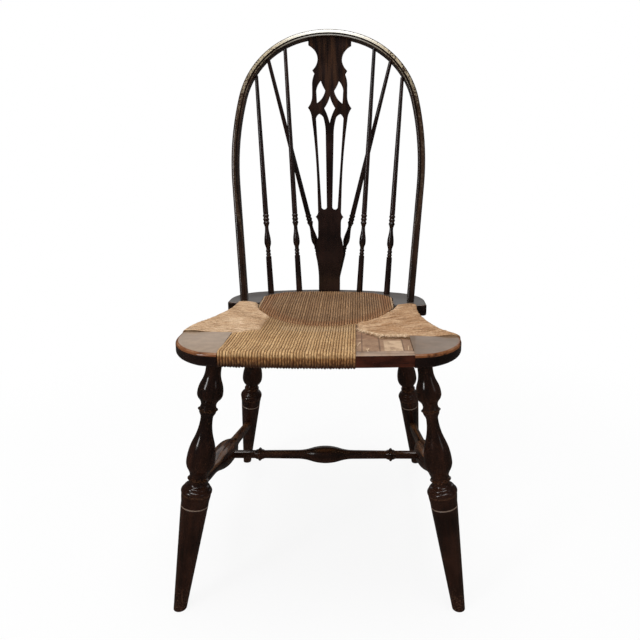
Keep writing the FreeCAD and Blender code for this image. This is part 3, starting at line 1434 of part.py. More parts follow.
# Every object must have been made, and every sub-part must be sound
for item in doc.Objects:
    if "Invalid" in item.State or "Error" in item.State:
        raise RuntimeError("%s failed: %s" % (item.Label, item.State))
os.makedirs("parts", exist_ok=True)
for node in nodes:
    shape = node.Shape
    if shape.isNull() or not shape.isValid():
        raise RuntimeError("%s is not a sound solid" % node.Label)
    solids = len(shape.Solids)
    box = shape.BoundBox
    print("%-24s solids %d volume %9.0f  x %7.1f %7.1f  y %7.1f %7.1f  z %7.1f %7.1f" % (
        node.Label, solids, shape.Volume, box.XMin, box.XMax, box.YMin, box.YMax, box.ZMin, box.ZMax))
for node in nodes:
    node.Shape.exportStep("parts/%s.step" % node.Label)
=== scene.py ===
# %% [markdown]
# # A bow-back chair with a rush seat
#
# The frame of this chair is already built to size, one solid for each piece of wood. Here it gets its
# looks: an old dark stain under worn polish, a seat wound from strands of rush, and the bare corner
# where the rush has gone. Each step says what the real thing is and how it is made here.

# %% Tools and the measured frame
import math
import random

import bpy
from mathutils import Matrix, Vector


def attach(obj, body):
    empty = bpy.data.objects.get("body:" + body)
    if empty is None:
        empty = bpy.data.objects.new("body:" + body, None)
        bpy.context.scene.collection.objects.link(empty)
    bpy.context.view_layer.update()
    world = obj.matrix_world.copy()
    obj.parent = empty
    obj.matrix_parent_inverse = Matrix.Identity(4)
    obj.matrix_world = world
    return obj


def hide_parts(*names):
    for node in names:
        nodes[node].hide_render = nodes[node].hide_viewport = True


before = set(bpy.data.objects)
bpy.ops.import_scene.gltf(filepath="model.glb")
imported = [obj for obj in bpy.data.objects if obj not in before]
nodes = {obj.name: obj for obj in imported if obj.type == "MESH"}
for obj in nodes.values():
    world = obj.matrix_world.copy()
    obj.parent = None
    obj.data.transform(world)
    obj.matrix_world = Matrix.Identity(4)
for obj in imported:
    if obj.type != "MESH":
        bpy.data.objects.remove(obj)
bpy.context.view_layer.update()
print("frame nodes:", len(nodes))

# %% [markdown]
# ## Shader sums as plain expressions
#
# A finish is mostly sums on masks and noises. Writing them as Python expressions keeps them short, so
# one small class wraps a socket and turns +, -, * and / into Math nodes. Colours go through a Mix
# node, because a Math node would turn them grey.


# %% A socket that can be worked with
class Shade:
    def __init__(self, finish, socket):
        self.finish = finish
        self.socket = socket

    def sum(self, operation, *values):
        return self.finish.node("ShaderNodeMath", {"operation": operation}, dict(enumerate(values)))

    def __add__(self, other):
        return self.sum("ADD", self, other)

    def __radd__(self, other):
        return self.sum("ADD", other, self)

    def __sub__(self, other):
        return self.sum("SUBTRACT", self, other)

    def __rsub__(self, other):
        return self.sum("SUBTRACT", other, self)

    def __mul__(self, other):
        return self.sum("MULTIPLY", self, other)

    def __rmul__(self, other):
        return self.sum("MULTIPLY", other, self)

    def __truediv__(self, other):
        return self.sum("DIVIDE", self, other)

    def __pow__(self, other):
        return self.sum("POWER", self, other)

    def size(self):
        """The same number without its sign."""
        return self.sum("ABSOLUTE", self)

    def ramp(self, low, high, to_low=0.0, to_high=1.0):
        """Smoothly from to_low at low to to_high at high."""
        return self.finish.node(
            "ShaderNodeMapRange", {"interpolation_type": "SMOOTHSTEP"},
            {0: self, 1: low, 2: high, 3: to_low, 4: to_high},
        )

    def band(self, low, high, soft):
        """One between low and high, fading to zero over soft."""
        return self.ramp(low - soft, low) * self.ramp(high, high + soft, 1.0, 0.0)


class Finish:
    """A material with a Principled skin and the nodes that feed it."""

    def __init__(self, name):
        self.material = bpy.data.materials.new(name)
        self.material.use_nodes = True
        self.tree = self.material.node_tree
        self.tree.nodes.clear()
        self.skin = self.tree.nodes.new("ShaderNodeBsdfPrincipled")
        self.out = self.tree.nodes.new("ShaderNodeOutputMaterial")
        self.tree.links.new(self.skin.outputs[0], self.out.inputs[0])

    def feed(self, socket, value):
        if isinstance(value, Shade):
            self.tree.links.new(value.socket, socket)
        elif socket.type == "RGBA" and len(value) == 3:
            socket.default_value = (*value, 1.0)
        else:
            socket.default_value = value

    def node(self, kind, settings=None, inputs=None, output=0):
        made = self.tree.nodes.new(kind)
        for key, value in (settings or {}).items():
            setattr(made, key, value)
        for key, value in (inputs or {}).items():
            self.feed(made.inputs[key], value)
        return Shade(self, made.outputs[output])

    def set(self, **values):
        for key, value in values.items():
            self.feed(self.skin.inputs[key.replace("_", " ")], value)

    def place(self):
        """The point on the piece, in metres from the chair's origin."""
        return self.node("ShaderNodeTexCoord", output="Object")

    def parts(self, vector):
        return [self.node("ShaderNodeSeparateXYZ", inputs={0: vector}, output=axis) for axis in range(3)]

    def vector(self, operation, *values, output=0):
        return self.node("ShaderNodeVectorMath", {"operation": operation}, dict(enumerate(values)), output)

    def scaled(self, vector, factors):
        return self.vector("MULTIPLY", vector, factors)

    def times(self, vector, factor):
        """A vector made longer by one number, which may be a shade."""
        return self.node("ShaderNodeVectorMath", {"operation": "SCALE"}, {0: vector, "Scale": factor})

    def join(self, x, y, z):
        return self.node("ShaderNodeCombineXYZ", inputs={0: x, 1: y, 2: z})

    def noise(self, vector, scale=1.0, detail=2.0, rough=0.5):
        return self.node("ShaderNodeTexNoise", inputs={
            "Vector": vector, "Scale": scale, "Detail": detail, "Roughness": rough})

    def mix(self, share, first, second):
        return self.node("ShaderNodeMix", {"data_type": "RGBA"}, {0: share, 6: first, 7: second}, 2)

    def bump(self, height, strength, distance):
        return self.node("ShaderNodeBump", inputs={
            "Height": height, "Strength": strength, "Distance": distance})

    def facing(self):
        """How far the surface faces up, from -1 to 1."""
        normal = self.node("ShaderNodeNewGeometry", output="Normal")
        return self.parts(normal)[2]


print("a finish can hold:", [name for name in vars(Finish) if not name.startswith("_")])


# %% [markdown]
# ## The seat's own plane
#
# Everything in the seat is laid out flat and then tipped back by a couple of degrees, as the maker
# set it on the legs. The pieces could be modelled flat and then turned, but a finished piece has to sit
# at the origin, unturned. So each point is tipped as it is made. Sizes of the seat are in millimetres
# in that flat plane, with Z measured from the top of the wooden blocks.

# %% From the seat plane to the chair
SEAT_HEIGHT = 436.0
SEAT_TILT = math.radians(2.22)


def on_seat(x, y, z):
    """A point of the flat seat, in millimetres, at its place on the chair in metres."""
    back = y * math.cos(SEAT_TILT) + z * math.sin(SEAT_TILT)
    up = SEAT_HEIGHT - y * math.sin(SEAT_TILT) + z * math.cos(SEAT_TILT)
    return Vector((x / 1000, back / 1000, up / 1000))


def seat_flat(finish, point):
    """The flat seat coordinates of a point, in millimetres, as three shades."""
    x, y, z = finish.parts(point)
    y = y * 1000
    z = z * 1000 - SEAT_HEIGHT
    flat_y = y * math.cos(SEAT_TILT) - z * math.sin(SEAT_TILT)
    flat_z = y * math.sin(SEAT_TILT) + z * math.cos(SEAT_TILT)
    return x * 1000, flat_y, flat_z


print("front of the seat plane:", [round(v, 4) for v in on_seat(0, -250, 0)])

# %% [markdown]
# ## Old stained wood
#
# The wood lies under a nearly black stain that was polished long ago. Three things make it look so:
# clouds of red-brown where the stain is thin, fine pores that run along the piece, and a polish that is
# glossy on top and dull where it has worn. A picture of wood would have to be fitted to every turning.
# A noise in space needs no such chart, and once it is drawn out along the piece's own axis it follows
# the grain, so that is the way used here.

# %% Stained and polished wood
STAIN_DEEP = (0.0075, 0.0036, 0.0026)
STAIN_WARM = (0.030, 0.0105, 0.0055)
PORE_DARK = (0.004, 0.002, 0.0015)
RUBBED = (0.115, 0.052, 0.024)
PORES = 900.0
FIGURE = 130.0
CLOUDS = 14.0
ALONG_GRAIN = 0.06


def stained_wood(name, start, along, deep=STAIN_DEEP, warm=STAIN_WARM, shift=0.0):
    """A finish that also holds its stain, its grain, its dullness and the distance along the piece."""
    finish = Finish(name)
    axis = tuple(Vector(along).normalized())
    finish.point = finish.vector("SUBTRACT", finish.place(), tuple(start))
    finish.length = finish.vector("DOT_PRODUCT", finish.point, axis, output="Value")
    run = finish.times(axis, finish.length)
    across = finish.vector("SUBTRACT", finish.point, run)
    grain_place = finish.vector("ADD", across, finish.times(run, ALONG_GRAIN))
    grain_place = finish.vector("ADD", grain_place, (shift, 0.7 * shift, 0.0))
    cloud_place = finish.vector("ADD", finish.point, (shift, 0.0, shift))
    finish.pores = finish.noise(grain_place, PORES, 3.0, 0.6)
    finish.figure = finish.noise(grain_place, FIGURE, 3.0, 0.55)
    finish.clouds = finish.noise(cloud_place, CLOUDS, 3.0, 0.6)
    depth = (finish.clouds * 0.65 + finish.figure * 0.35).ramp(0.36, 0.66)
    colour = finish.mix(depth, deep, warm)
    finish.colour = finish.mix(finish.pores.ramp(0.60, 0.78) * 0.45, colour, PORE_DARK)
    finish.dull = finish.clouds.ramp(0.35, 0.7, 0.12, 0.24) + finish.pores.ramp(0.55, 0.8, 0.0, 0.08)
    return finish


def polish(finish, colour, dull, height=None, depth=0.00012):
    """Give the skin its colour, gloss and the slight unevenness of hand-rubbed polish."""
    if height is None:
        height = finish.pores * 0.5 + finish.figure * 0.5
    finish.set(Base_Color=colour, Roughness=dull, Normal=finish.bump(height, 0.35, depth),
               Coat_Weight=0.22, Coat_Roughness=0.07, Specular_IOR_Level=0.38)
    return finish.material


def dress(node, material):
    """Put a material on a piece of the frame, in place of the one it came with."""
    piece = nodes[node]
    piece.data.materials.clear()
    piece.data.materials.append(material)


print("stain from", STAIN_DEEP, "to", STAIN_WARM)


# %% [markdown]
# ## Legs
#
# The four legs are turned alike: a tapered foot with a scribed line at its top, a shoulder and ring, a
# long vase, a collar and a small vase under the seat. Feet are rubbed by shoes and floors, and the
# scribed line has lost its stain, so it shows as a thin pale ring. The ring could be a hoop of its own,
# but it is only a change of colour, so the finish finds it by the distance along the leg.

# %% Finish for one leg
LEGS = {
    "leg_front_left": ((-224.2, -210.7), (-156.5, -164.0)),
    "leg_front_right": ((224.2, -210.7), (156.5, -164.0)),
    "leg_rear_left": ((-196.8, 240.4), (-141.7, 120.0)),
    "leg_rear_right": ((196.8, 240.4), (141.7, 120.0)),
}
LEG_TOP_Z = -21.0
SCRIBE_UP = 0.178
SCRIBE_HALF = 0.0007
SCRIBE_PALE = (0.28, 0.20, 0.15)
RUBBED_RIMS = ((0.2195, 0.2245, 0.0012), (0.3335, 0.3375, 0.001), (0.1975, 0.2000, 0.001))


def leg_line(node):
    """The foot and the top of a leg's axis, in metres."""
    foot, top = LEGS[node]
    return Vector((foot[0] / 1000, foot[1] / 1000, 0.0)), on_seat(top[0], top[1], LEG_TOP_Z)


def leg_wood(node, shift):
    low, high = leg_line(node)
    finish = stained_wood(node + "_polish", low, high - low, shift=shift)
    up = finish.length
    fibres = finish.noise(finish.point, 420.0, 2.0, 0.6)
    scribe = up.band(SCRIBE_UP - SCRIBE_HALF, SCRIBE_UP + SCRIBE_HALF, 0.0004)
    shoe = up.ramp(0.004, 0.06, 1.0, 0.0) * fibres.ramp(0.52, 0.66)
    knocks = up.ramp(0.12, 0.30, 0.0, 0.35) * fibres.ramp(0.63, 0.72)
    rims = sum(up.band(*rim) for rim in RUBBED_RIMS)
    colour = finish.mix(shoe * 0.6, finish.colour, RUBBED)
    colour = finish.mix(knocks, colour, RUBBED)
    colour = finish.mix(rims * fibres.ramp(0.40, 0.62) * 0.45, colour, RUBBED)
    colour = finish.mix(scribe * 0.75, colour, SCRIBE_PALE)
    return polish(finish, colour, finish.dull + shoe * 0.2 + scribe * 0.2)


for step, node in enumerate(LEGS):
    dress(node, leg_wood(node, 0.31 * step))
print("legs finished:", len(LEGS))

# %% [markdown]
# ## Stretchers
#
# Two side stretchers swell in the middle, and one cross stretcher with a bulb and two beads joins
# them. Their tops are rubbed to amber where heels rested. That wear could be painted on, but it lies
# wherever the wood faces up, so the finish asks the surface for that.

# %% Finish for the stretchers
FRONT_SOCKET_UP = 0.202
REAR_SOCKET_UP = 0.114
CROSS_SHARE = 0.43
HEEL_AMBER = (0.17, 0.072, 0.026)


def between(first, second, share):
    return first + (second - first) * share


def at_height(node, height):
    """The point of a leg's axis at a height, in metres."""
    low, high = leg_line(node)
    return between(low, high, height / high.z)


def stretcher_wood(node, start, end, shift, amber):
    finish = stained_wood(node + "_polish", start, end - start, shift=shift)
    fibres = finish.noise(finish.point, 260.0, 3.0, 0.6)
    heel = finish.facing().ramp(0.15, 0.95) * finish.figure.ramp(0.42, 0.62) * amber
    colour = finish.mix(heel, finish.colour, HEEL_AMBER)
    colour = finish.mix(fibres.ramp(0.64, 0.72) * 0.4, colour, RUBBED)
    return polish(finish, colour, finish.dull + heel * 0.06)


cross_ends = []
for side in ("left", "right"):
    node = "side_stretcher_" + side
    start = at_height("leg_front_" + side, FRONT_SOCKET_UP)
    end = at_height("leg_rear_" + side, REAR_SOCKET_UP)
    dress(node, stretcher_wood(node, start, end, 1.3, 0.75))
    cross_ends.append(between(start, end, CROSS_SHARE))
dress("cross_stretcher", stretcher_wood("cross_stretcher", *cross_ends, 2.1, 0.22))
print("the cross stretcher's axis:", [[round(v, 4) for v in end] for end in cross_ends])

# %% [markdown]
# ## Spindles and splat
#
# The thin spindles and the sawn splat are nearly black. A duster rubs the rims of the beads and never
# reaches the grooves, which stay dark. One finish could serve all of them, but every spindle leans
# another way, so each gets its own with the grain along its axis. The splat is a flat board, so its
# grain runs straight up and the figure shows most on its wide top.

# %% Finish for the back
BOW_FOOT_BACK = 84.5
BOW_LEAN = math.radians(15.0)
SPLAT_FOOT_BACK = 169.0
SPLAT_LEAN = math.radians(5.7)
SPINDLES = {
    "spindle_outer": ((116.5, 147.0), (140.0, 423.0)),
    "spindle_inner": ((61.5, 167.0), (85.7, 480.4)),
    "brace_spindle": ((9.6, 228.0), (116.5, 457.1)),
}
SPINDLE_STAIN = (0.006, 0.0035, 0.003), (0.020, 0.008, 0.006)
SPLAT_STAIN = (0.0062, 0.0027, 0.0022), (0.021, 0.0075, 0.0048)
BEADS = ((0.074, 0.090, 0.002), (0.137, 0.158, 0.002))


def on_bow(x, up):
    """A point of the bow's leaning plane, up from its feet in millimetres, on the chair in metres."""
    foot = on_seat(x, BOW_FOOT_BACK, 0.0)
    return foot + Vector((0.0, up * math.sin(BOW_LEAN), up * math.cos(BOW_LEAN))) / 1000


def spindle_wood(node, low, high, shift):
    finish = stained_wood(node + "_polish", low, high - low, *SPINDLE_STAIN, shift)
    rub = finish.noise(finish.point, 380.0, 2.0, 0.6).ramp(0.60, 0.72)
    beads = sum(finish.length.band(*bead) for bead in BEADS)
    colour = finish.mix(rub * (beads * 0.5 + 0.12), finish.colour, (0.14, 0.085, 0.055))
    return polish(finish, colour, finish.dull + 0.02)


def splat_wood():
    foot = on_seat(0.0, SPLAT_FOOT_BACK, 0.0)
    way_up = (0.0, math.sin(SPLAT_LEAN), math.cos(SPLAT_LEAN))
    finish = stained_wood("splat_polish", foot, way_up, *SPLAT_STAIN, 3.3)
    cap = finish.length.ramp(0.30, 0.46)
    colour = finish.mix(cap * finish.figure.ramp(0.38, 0.70) * 0.85, finish.colour, (0.048, 0.020, 0.0085))
    return polish(finish, colour, finish.dull + 0.10)


for step, (kind, (foot, top)) in enumerate(SPINDLES.items()):
    for side, way in (("left", -1.0), ("right", 1.0)):
        node = "%s_%s" % (kind, side)
        low = on_seat(way * foot[0], foot[1], 0.0)
        high = on_bow(way * top[0], top[1])
        dress(node, spindle_wood(node, low, high, 0.4 * step + 0.2 * way))
        print(node, "long", round((high - low).length, 4))
dress("splat", splat_wood())

# %% [markdown]
# ## The bow
#
# The bow is one bent stick with a groove near its inner edge. Hands take hold of it at the top, so the
# polish there has worn to pale gold flecks, thickest on the crown and gone by the shoulders. Painted
# light lies over that wear: the face band and the bead are painted lighter as a painted reflection of
# the lamp above, the crown is painted near white as a painted highlight, and the groove is painted dark
# as painted shade. No single direction describes wear and sheen that follow a bend. So the finish
# measures how far each point lies from the bow's own centre line, which is a large arc for each side, a
# tighter one for the shoulder and a flat one for the crown.

# %% The bow's centre line
BOW_FOOT_HALF = 158.5
BOW_STRAIGHT = 223.2
BOW_SPLAY = math.radians(4.7)
SIDE_RADIUS = 558.5
SIDE_TURN = math.radians(17.1)
SHOULDER_RADIUS = 158.5
SHOULDER_TURN = math.radians(60.2)

line_x = BOW_FOOT_HALF + BOW_STRAIGHT * math.sin(BOW_SPLAY)
line_y = BOW_STRAIGHT * math.cos(BOW_SPLAY)
turned_in = SIDE_TURN - BOW_SPLAY
side_x = line_x - SIDE_RADIUS * (math.cos(BOW_SPLAY) - math.cos(turned_in))
side_y = line_y + SIDE_RADIUS * (math.sin(BOW_SPLAY) + math.sin(turned_in))
crown_from = turned_in + SHOULDER_TURN
end_x = side_x - SHOULDER_RADIUS * (math.cos(turned_in) - math.cos(crown_from))
end_y = side_y + SHOULDER_RADIUS * (math.sin(crown_from) - math.sin(turned_in))
crown_radius = end_x / math.cos(crown_from)
crown_centre = end_y - crown_radius * math.sin(crown_from)
shoulder_centre = (side_x - SHOULDER_RADIUS * math.cos(turned_in),
                   side_y - SHOULDER_RADIUS * math.sin(turned_in))
side_centre = (line_x - SIDE_RADIUS * math.cos(BOW_SPLAY), line_y + SIDE_RADIUS * math.sin(BOW_SPLAY))
print("crown radius %.1f, top of the centre line %.1f" % (crown_radius, crown_centre + crown_radius))


# %% Worn polish on the bow
BOW_FACE = (-0.6, 4.0, 0.6)
BOW_BEAD = (-5.9, -4.3, 0.4)
BOW_GROOVE = (-3.4, -1.9, 0.4)
BOW_STAIN = (0.010, 0.0055, 0.0038), (0.034, 0.016, 0.009)
BOW_WEAR_AND_SHEEN_UP = (330.0, 520.0)
# Gold and near-white flecks: partly real wear, partly a painted reflection and painted highlight of the
# lamp above.
WORN_GOLD_AND_SHEEN = (0.56, 0.47, 0.32)
CROWN_HIGHLIGHT_PALE = (0.97, 0.95, 0.86)


def outside_bow(half, up):
    """How far a point lies outside the centre line, in millimetres."""
    def off(centre_x, centre_y, radius):
        from_x = half - centre_x
        from_y = up - centre_y
        return (from_x * from_x + from_y * from_y) ** 0.5 - radius

    crown = off(0.0, crown_centre, crown_radius)
    shoulder = off(*shoulder_centre, SHOULDER_RADIUS)
    sides = off(*side_centre, SIDE_RADIUS)
    on_crown = half.ramp(end_x - 1, end_x + 1, 1.0, 0.0)
    on_side = up.ramp(side_y - 1, side_y + 1, 1.0, 0.0)
    return (crown * on_crown + shoulder * (1 - on_crown)) * (1 - on_side) + sides * on_side


def bow_wood():
    finish = stained_wood("bow_polish", on_seat(0, BOW_FOOT_BACK, 0), (0.0, 0.26, 0.97), *BOW_STAIN, 5.1)
    x, y, z = finish.parts(finish.point)
    half = (x * 1000).size()
    up = (y * math.sin(BOW_LEAN) + z * math.cos(BOW_LEAN)) * 1000
    ahead = (z * math.sin(BOW_LEAN) - y * math.cos(BOW_LEAN)) * 1000
    outward = outside_bow(half, up)
    face = outward.band(*BOW_FACE) * ahead.ramp(3.0, 8.0)
    bead = outward.band(*BOW_BEAD) * ahead.ramp(3.0, 8.0)
    groove = outward.band(*BOW_GROOVE) * ahead.ramp(2.0, 6.0)
    high = up.ramp(*BOW_WEAR_AND_SHEEN_UP)
    middle = half.ramp(30.0, 120.0, 1.0, 0.0) * high
    flecks = finish.noise(finish.point, 330.0, 4.0, 0.65)
    patches = finish.noise(finish.point, 46.0, 3.0, 0.6)
    # Flecks of wear on the face and bead also carry a painted reflection. Near the crown they turn into a
    # near-white painted highlight.
    worn_and_sheen_mask = (flecks * 0.66 + patches * 0.34 + high * 0.07 + middle * 0.17).ramp(0.50, 0.58)
    wear_and_painted_light = worn_and_sheen_mask * (high * 0.85 + 0.06) * (face + bead * 0.35)
    dust_and_sheen = flecks.ramp(0.56, 0.70) * 0.30
    # The face band is painted lighter, with pale specks: painted sheen on the rounded face, partly dust.
    colour = finish.mix(face * 0.35, finish.colour, (0.050, 0.028, 0.016))
    colour = finish.mix(dust_and_sheen * face, colour, (0.12, 0.085, 0.055))
    colour = finish.mix(wear_and_painted_light, colour, finish.mix(middle, WORN_GOLD_AND_SHEEN, CROWN_HIGHLIGHT_PALE))
    # The groove is painted nearly black: painted shade.
    colour = finish.mix(groove * 0.8, colour, (0.005, 0.003, 0.002))
    return polish(finish, colour, finish.dull + wear_and_painted_light * 0.15 - 0.02,
                  finish.pores * 0.4 + flecks * 0.6, 0.0002)


dress("bow", bow_wood())
print("wear starts and is full, in mm up the bow:", BOW_WEAR_AND_SHEEN_UP)

# %% [markdown]
# ## Seat blocks and crescent
#
# The two corner blocks and the crescent behind are flat boards with dull wax on top and the rounded edge
# rubbed through to orange-brown. Their tops are painted a pale grey-taupe, mostly a painted reflection of
# the bright room, lighter on the left block than on the right, and a thin pale painted highlight runs
# along the edge. The three zones could be picked face by face, but the rounding has no clear ends. A
# surface that looks up is the top, one that looks sideways is the edge, and what lies between is the
# rubbed rounding, so again the direction decides.

# %% Finish for the seat's wood
SEAT_MIDDLE = (0.0, 0.0, 0.43)
BLOCK_STAIN = (0.005, 0.0026, 0.0022), (0.016, 0.0066, 0.0048)
AMBER_EDGE = (0.20, 0.070, 0.024)
EDGE_HIGHLIGHT = (0.42, 0.26, 0.15)
# The top colours are a painted reflection, painted lighter on the left block than on the right.
BLOCKS = (
    ("corner_block_left", "left_block_polish", (1, 0.1, 0), (0.250, 0.172, 0.112), AMBER_EDGE, 0.9, 0.9),
    ("corner_block_right", "right_block_polish", (1, -0.1, 0), (0.150, 0.098, 0.062), AMBER_EDGE, 4.2, 0.9),
    ("rear_block", "crescent_polish", (1, 0, 0), (0.045, 0.033, 0.026), (0.022, 0.010, 0.007), 6.1, 0.5),
    ("tailpiece", "tailpiece_polish", (0, 1, 0), (0.085, 0.064, 0.052), (0.030, 0.014, 0.009), 7.0, 0.5),
)


def stronger(colour, factor):
    return tuple(v * factor for v in colour)


def block_wood(name, along, sheen_top_colour, edge_colour, shift, rubbed):
    finish = stained_wood(name, SEAT_MIDDLE, along, *BLOCK_STAIN, shift)
    up = finish.facing()
    top = up.ramp(0.93, 0.995)
    rounding = up.ramp(0.05, 0.28) * up.ramp(0.975, 0.997, 1.0, 0.0)
    edge_highlight = up.ramp(0.62, 0.76) * up.ramp(0.86, 0.95, 1.0, 0.0)
    scuffs = finish.noise(finish.point, 60.0, 4.0, 0.6)
    specks = finish.noise(finish.point, 500.0, 2.0, 0.5)
    # The top is painted grey-taupe: mostly a painted reflection of the bright room, with dull wax.
    painted_sheen_top = finish.mix(scuffs.ramp(0.35, 0.68), sheen_top_colour, stronger(sheen_top_colour, 1.25))
    painted_sheen_top = finish.mix(specks.ramp(0.60, 0.72) * 0.35, painted_sheen_top, stronger(sheen_top_colour, 0.45))
    colour = finish.mix(top, finish.colour, painted_sheen_top)
    colour = finish.mix(rounding * scuffs.ramp(0.22, 0.45) * rubbed, colour, edge_colour)
    # A thin pale line along the rounded edge: a painted highlight.
    colour = finish.mix(edge_highlight * scuffs.ramp(0.35, 0.6) * 0.55 * rubbed, colour, EDGE_HIGHLIGHT)
    dull = finish.dull + top * 0.20 + rounding * 0.08
    return polish(finish, colour, dull, finish.pores * 0.35 + scuffs * 0.65, 0.0003)


for node, *look in BLOCKS:
    dress(node, block_wood(*look))
print("blocks finished:", [block[0] for block in BLOCKS])

# %% [markdown]
# ## Bare rails
#
# Where the rush has gone at the front, the rail it was wound on shows: a pale unstained top and a
# mahogany-red front. The two could be two materials on picked faces, but one finish that turns pale
# where it looks up serves every rail. The others are only seen from below, in the gaps of the winding.

# %% Finish for the rails and the pins
RAIL_STAIN = (0.020, 0.0050, 0.0026), (0.088, 0.020, 0.0085)
RAIL_BARE = (0.19, 0.115, 0.070), (0.38, 0.25, 0.165)
RAIL_SPOTS = (0.14, 0.075, 0.045)
PIN_WOOD = (0.22, 0.12, 0.06), (0.40, 0.25, 0.13)
RAILS = {
    "front_rail": (1, 0, 0),
    "side_rail_left": (0, 1, 0),
    "side_rail_right": (0, 1, 0),
    "rear_rail": (1, 0, 0),
}


def rail_wood(name, along, shift):
    finish = stained_wood(name, SEAT_MIDDLE, along, *RAIL_STAIN, shift)
    top = finish.facing().ramp(0.6, 0.95)
    spots = finish.noise(finish.point, 70.0, 3.0, 0.6)
    pale = finish.mix(finish.figure.ramp(0.35, 0.65), *RAIL_BARE)
    pale = finish.mix(spots.ramp(0.56, 0.70) * 0.6, pale, RAIL_SPOTS)
    colour = finish.mix(top, finish.colour, pale)
    return polish(finish, colour, finish.dull + top * 0.25 + 0.06, None, 0.0003)


def pin_wood():
    finish = stained_wood("dowel_beech", SEAT_MIDDLE, (0, 1, 0), *PIN_WOOD, 2.0)
    return polish(finish, finish.colour, finish.dull + 0.35, None, 0.0003)


for step, (node, along) in enumerate(RAILS.items()):
    dress(node, rail_wood(node + "_stain", along, 0.7 * step))
dress("seat_dowels", pin_wood())
print("rails finished:", len(RAILS))

# %% [markdown]
# ## Rush panels
#
# A rush seat is wound from twisted cords laid side by side over the rails. Four panels show here: cords
# that run front to back on the front panel and the rear panel, and finer straw laid from side to side
# on the two side panels. Each panel is wound right round its rail and meets itself underneath. Every
# cord could be a tube of its own, but most of each tube would be hidden in its neighbours. So a panel is
# one flat grid with eight columns for each cord. The grid is rolled round the rail until its first and
# last rows meet, every cord's columns are raised to a half-round ridge, and each cord wanders and swells
# a little, as hand-twisted rush does.

# %% The way of one cord round its rail
RUSH_TOP = 0.8
RUSH_THICK = 21.0
HOLLOW_DEEP = 8.6
HOLLOW_BACK = -52.0
HOLLOW_REACH = 122.0
ROWS_UNDER = 14
ROWS_EDGE = 13
SAG_UNDER = 1.6
DIVE_REACH = 3.2
EDGE_ACROSS = 0.62
EDGE_UPWARD = 0.55


def hollow(x, y):
    """How far the middle of the seat has sunk."""
    far = math.hypot(x, y - HOLLOW_BACK) / HOLLOW_REACH
    return HOLLOW_DEEP * max(0.0, 1.0 - far * far)


def wound_loop(inner, outer, height_at, rows_top=52, edge_round=6.5, dive=5.0):
    """Rows (place, height, way out, way up) of one cord, round the rail and back.

    Place runs from the inner end to the outer edge, and the way is the outward normal. At the inner
    end the cord dives between its neighbours.
    """
    low = RUSH_TOP - RUSH_THICK
    reach = abs(outer - inner)
    sign = 1.0 if outer > inner else -1.0
    radius = min(edge_round, reach * 0.4)
    straight = reach - radius
    edge_high = height_at(inner + sign * straight)
    centre = (low + edge_high) / 2
    tall = (edge_high - low) / 2
    rows = []
    for step in range(ROWS_UNDER):
        share = step / ROWS_UNDER
        sag = SAG_UNDER * math.sin(math.pi * share) ** 2
        rows.append((inner + sign * straight * share, low + sag, 0.0, -1.0))
    for step in range(ROWS_EDGE):
        turn = math.pi * step / (ROWS_EDGE - 1)
        across = abs(math.sin(turn)) ** EDGE_ACROSS
        upward = math.copysign(abs(math.cos(turn)) ** EDGE_UPWARD, math.cos(turn))
        rows.append((inner + sign * (straight + radius * across), centre - tall * upward,
                     sign * math.sin(turn), -math.cos(turn)))
    for step in range(1, rows_top + 1):
        share = step / rows_top
        place = inner + sign * straight * (1.0 - share)
        away = (1.0 - share) * straight
        rows.append((place, height_at(place) - dive * math.exp(-(away / DIVE_REACH) ** 2), 0.0, 1.0))
    return rows


print("rows of one cord:", len(wound_loop(0.0, 100.0, lambda place: RUSH_TOP)))


# %% The cords of a panel, side by side
COLUMNS = 8
RIDGE_ROUND = 0.7
RIDGE_SUNK = 0.55


def lay_cords(start, end, pitch, loop_at, to_seat, ridge, seed, wander):
    """For each column of the grid, its points and how far along the cord each lies, in mm."""
    dice = random.Random(seed)
    count = max(3, round(abs(end - start) / pitch))
    step_wide = (end - start) / count
    lifts = [dice.gauss(0.0, 0.15) for _ in range(count)]
    swell = [dice.uniform(0.86, 1.1) for _ in range(count)]
    phases = [dice.uniform(0.0, 6.28) for _ in range(count)]
    waves = [dice.uniform(0.05, 0.11) for _ in range(count)]
    edges = [0.0] + [i + dice.gauss(0.0, 0.07) for i in range(1, count)] + [float(count)]
    table = []
    for column in range(count * COLUMNS + 1):
        cord = min(column // COLUMNS, count - 1)
        inside = (column - cord * COLUMNS) / COLUMNS
        place = start + step_wide * (edges[cord] + (edges[cord + 1] - edges[cord]) * inside)
        bulge = math.sin(math.pi * inside) ** RIDGE_ROUND if 0 < inside < 1 else 0.0
        lift = ridge * swell[cord] * bulge + lifts[cord] * bulge - ridge * RIDGE_SUNK
        line = []
        run = 0.0
        before = None
        for reach, height, out, up in loop_at(place):
            sway = wander * math.sin(run * waves[cord] + phases[cord]) * math.sin(math.pi * inside)
            full = lift * (1.0 + 0.10 * math.sin(run * 0.33 + 2 * phases[cord]))
            point = to_seat(place + sway, reach + full * out, height + full * up)
            if before is not None:
                run += (point - before).length * 1000
            before = point
            line.append((point, run))
        table.append(line)
    return table


# %% A grid rolled into a wound panel
SEAM = 0.00002


def only(piece):
    bpy.ops.object.select_all(action="DESELECT")
    piece.select_set(True)
    bpy.context.view_layer.objects.active = piece


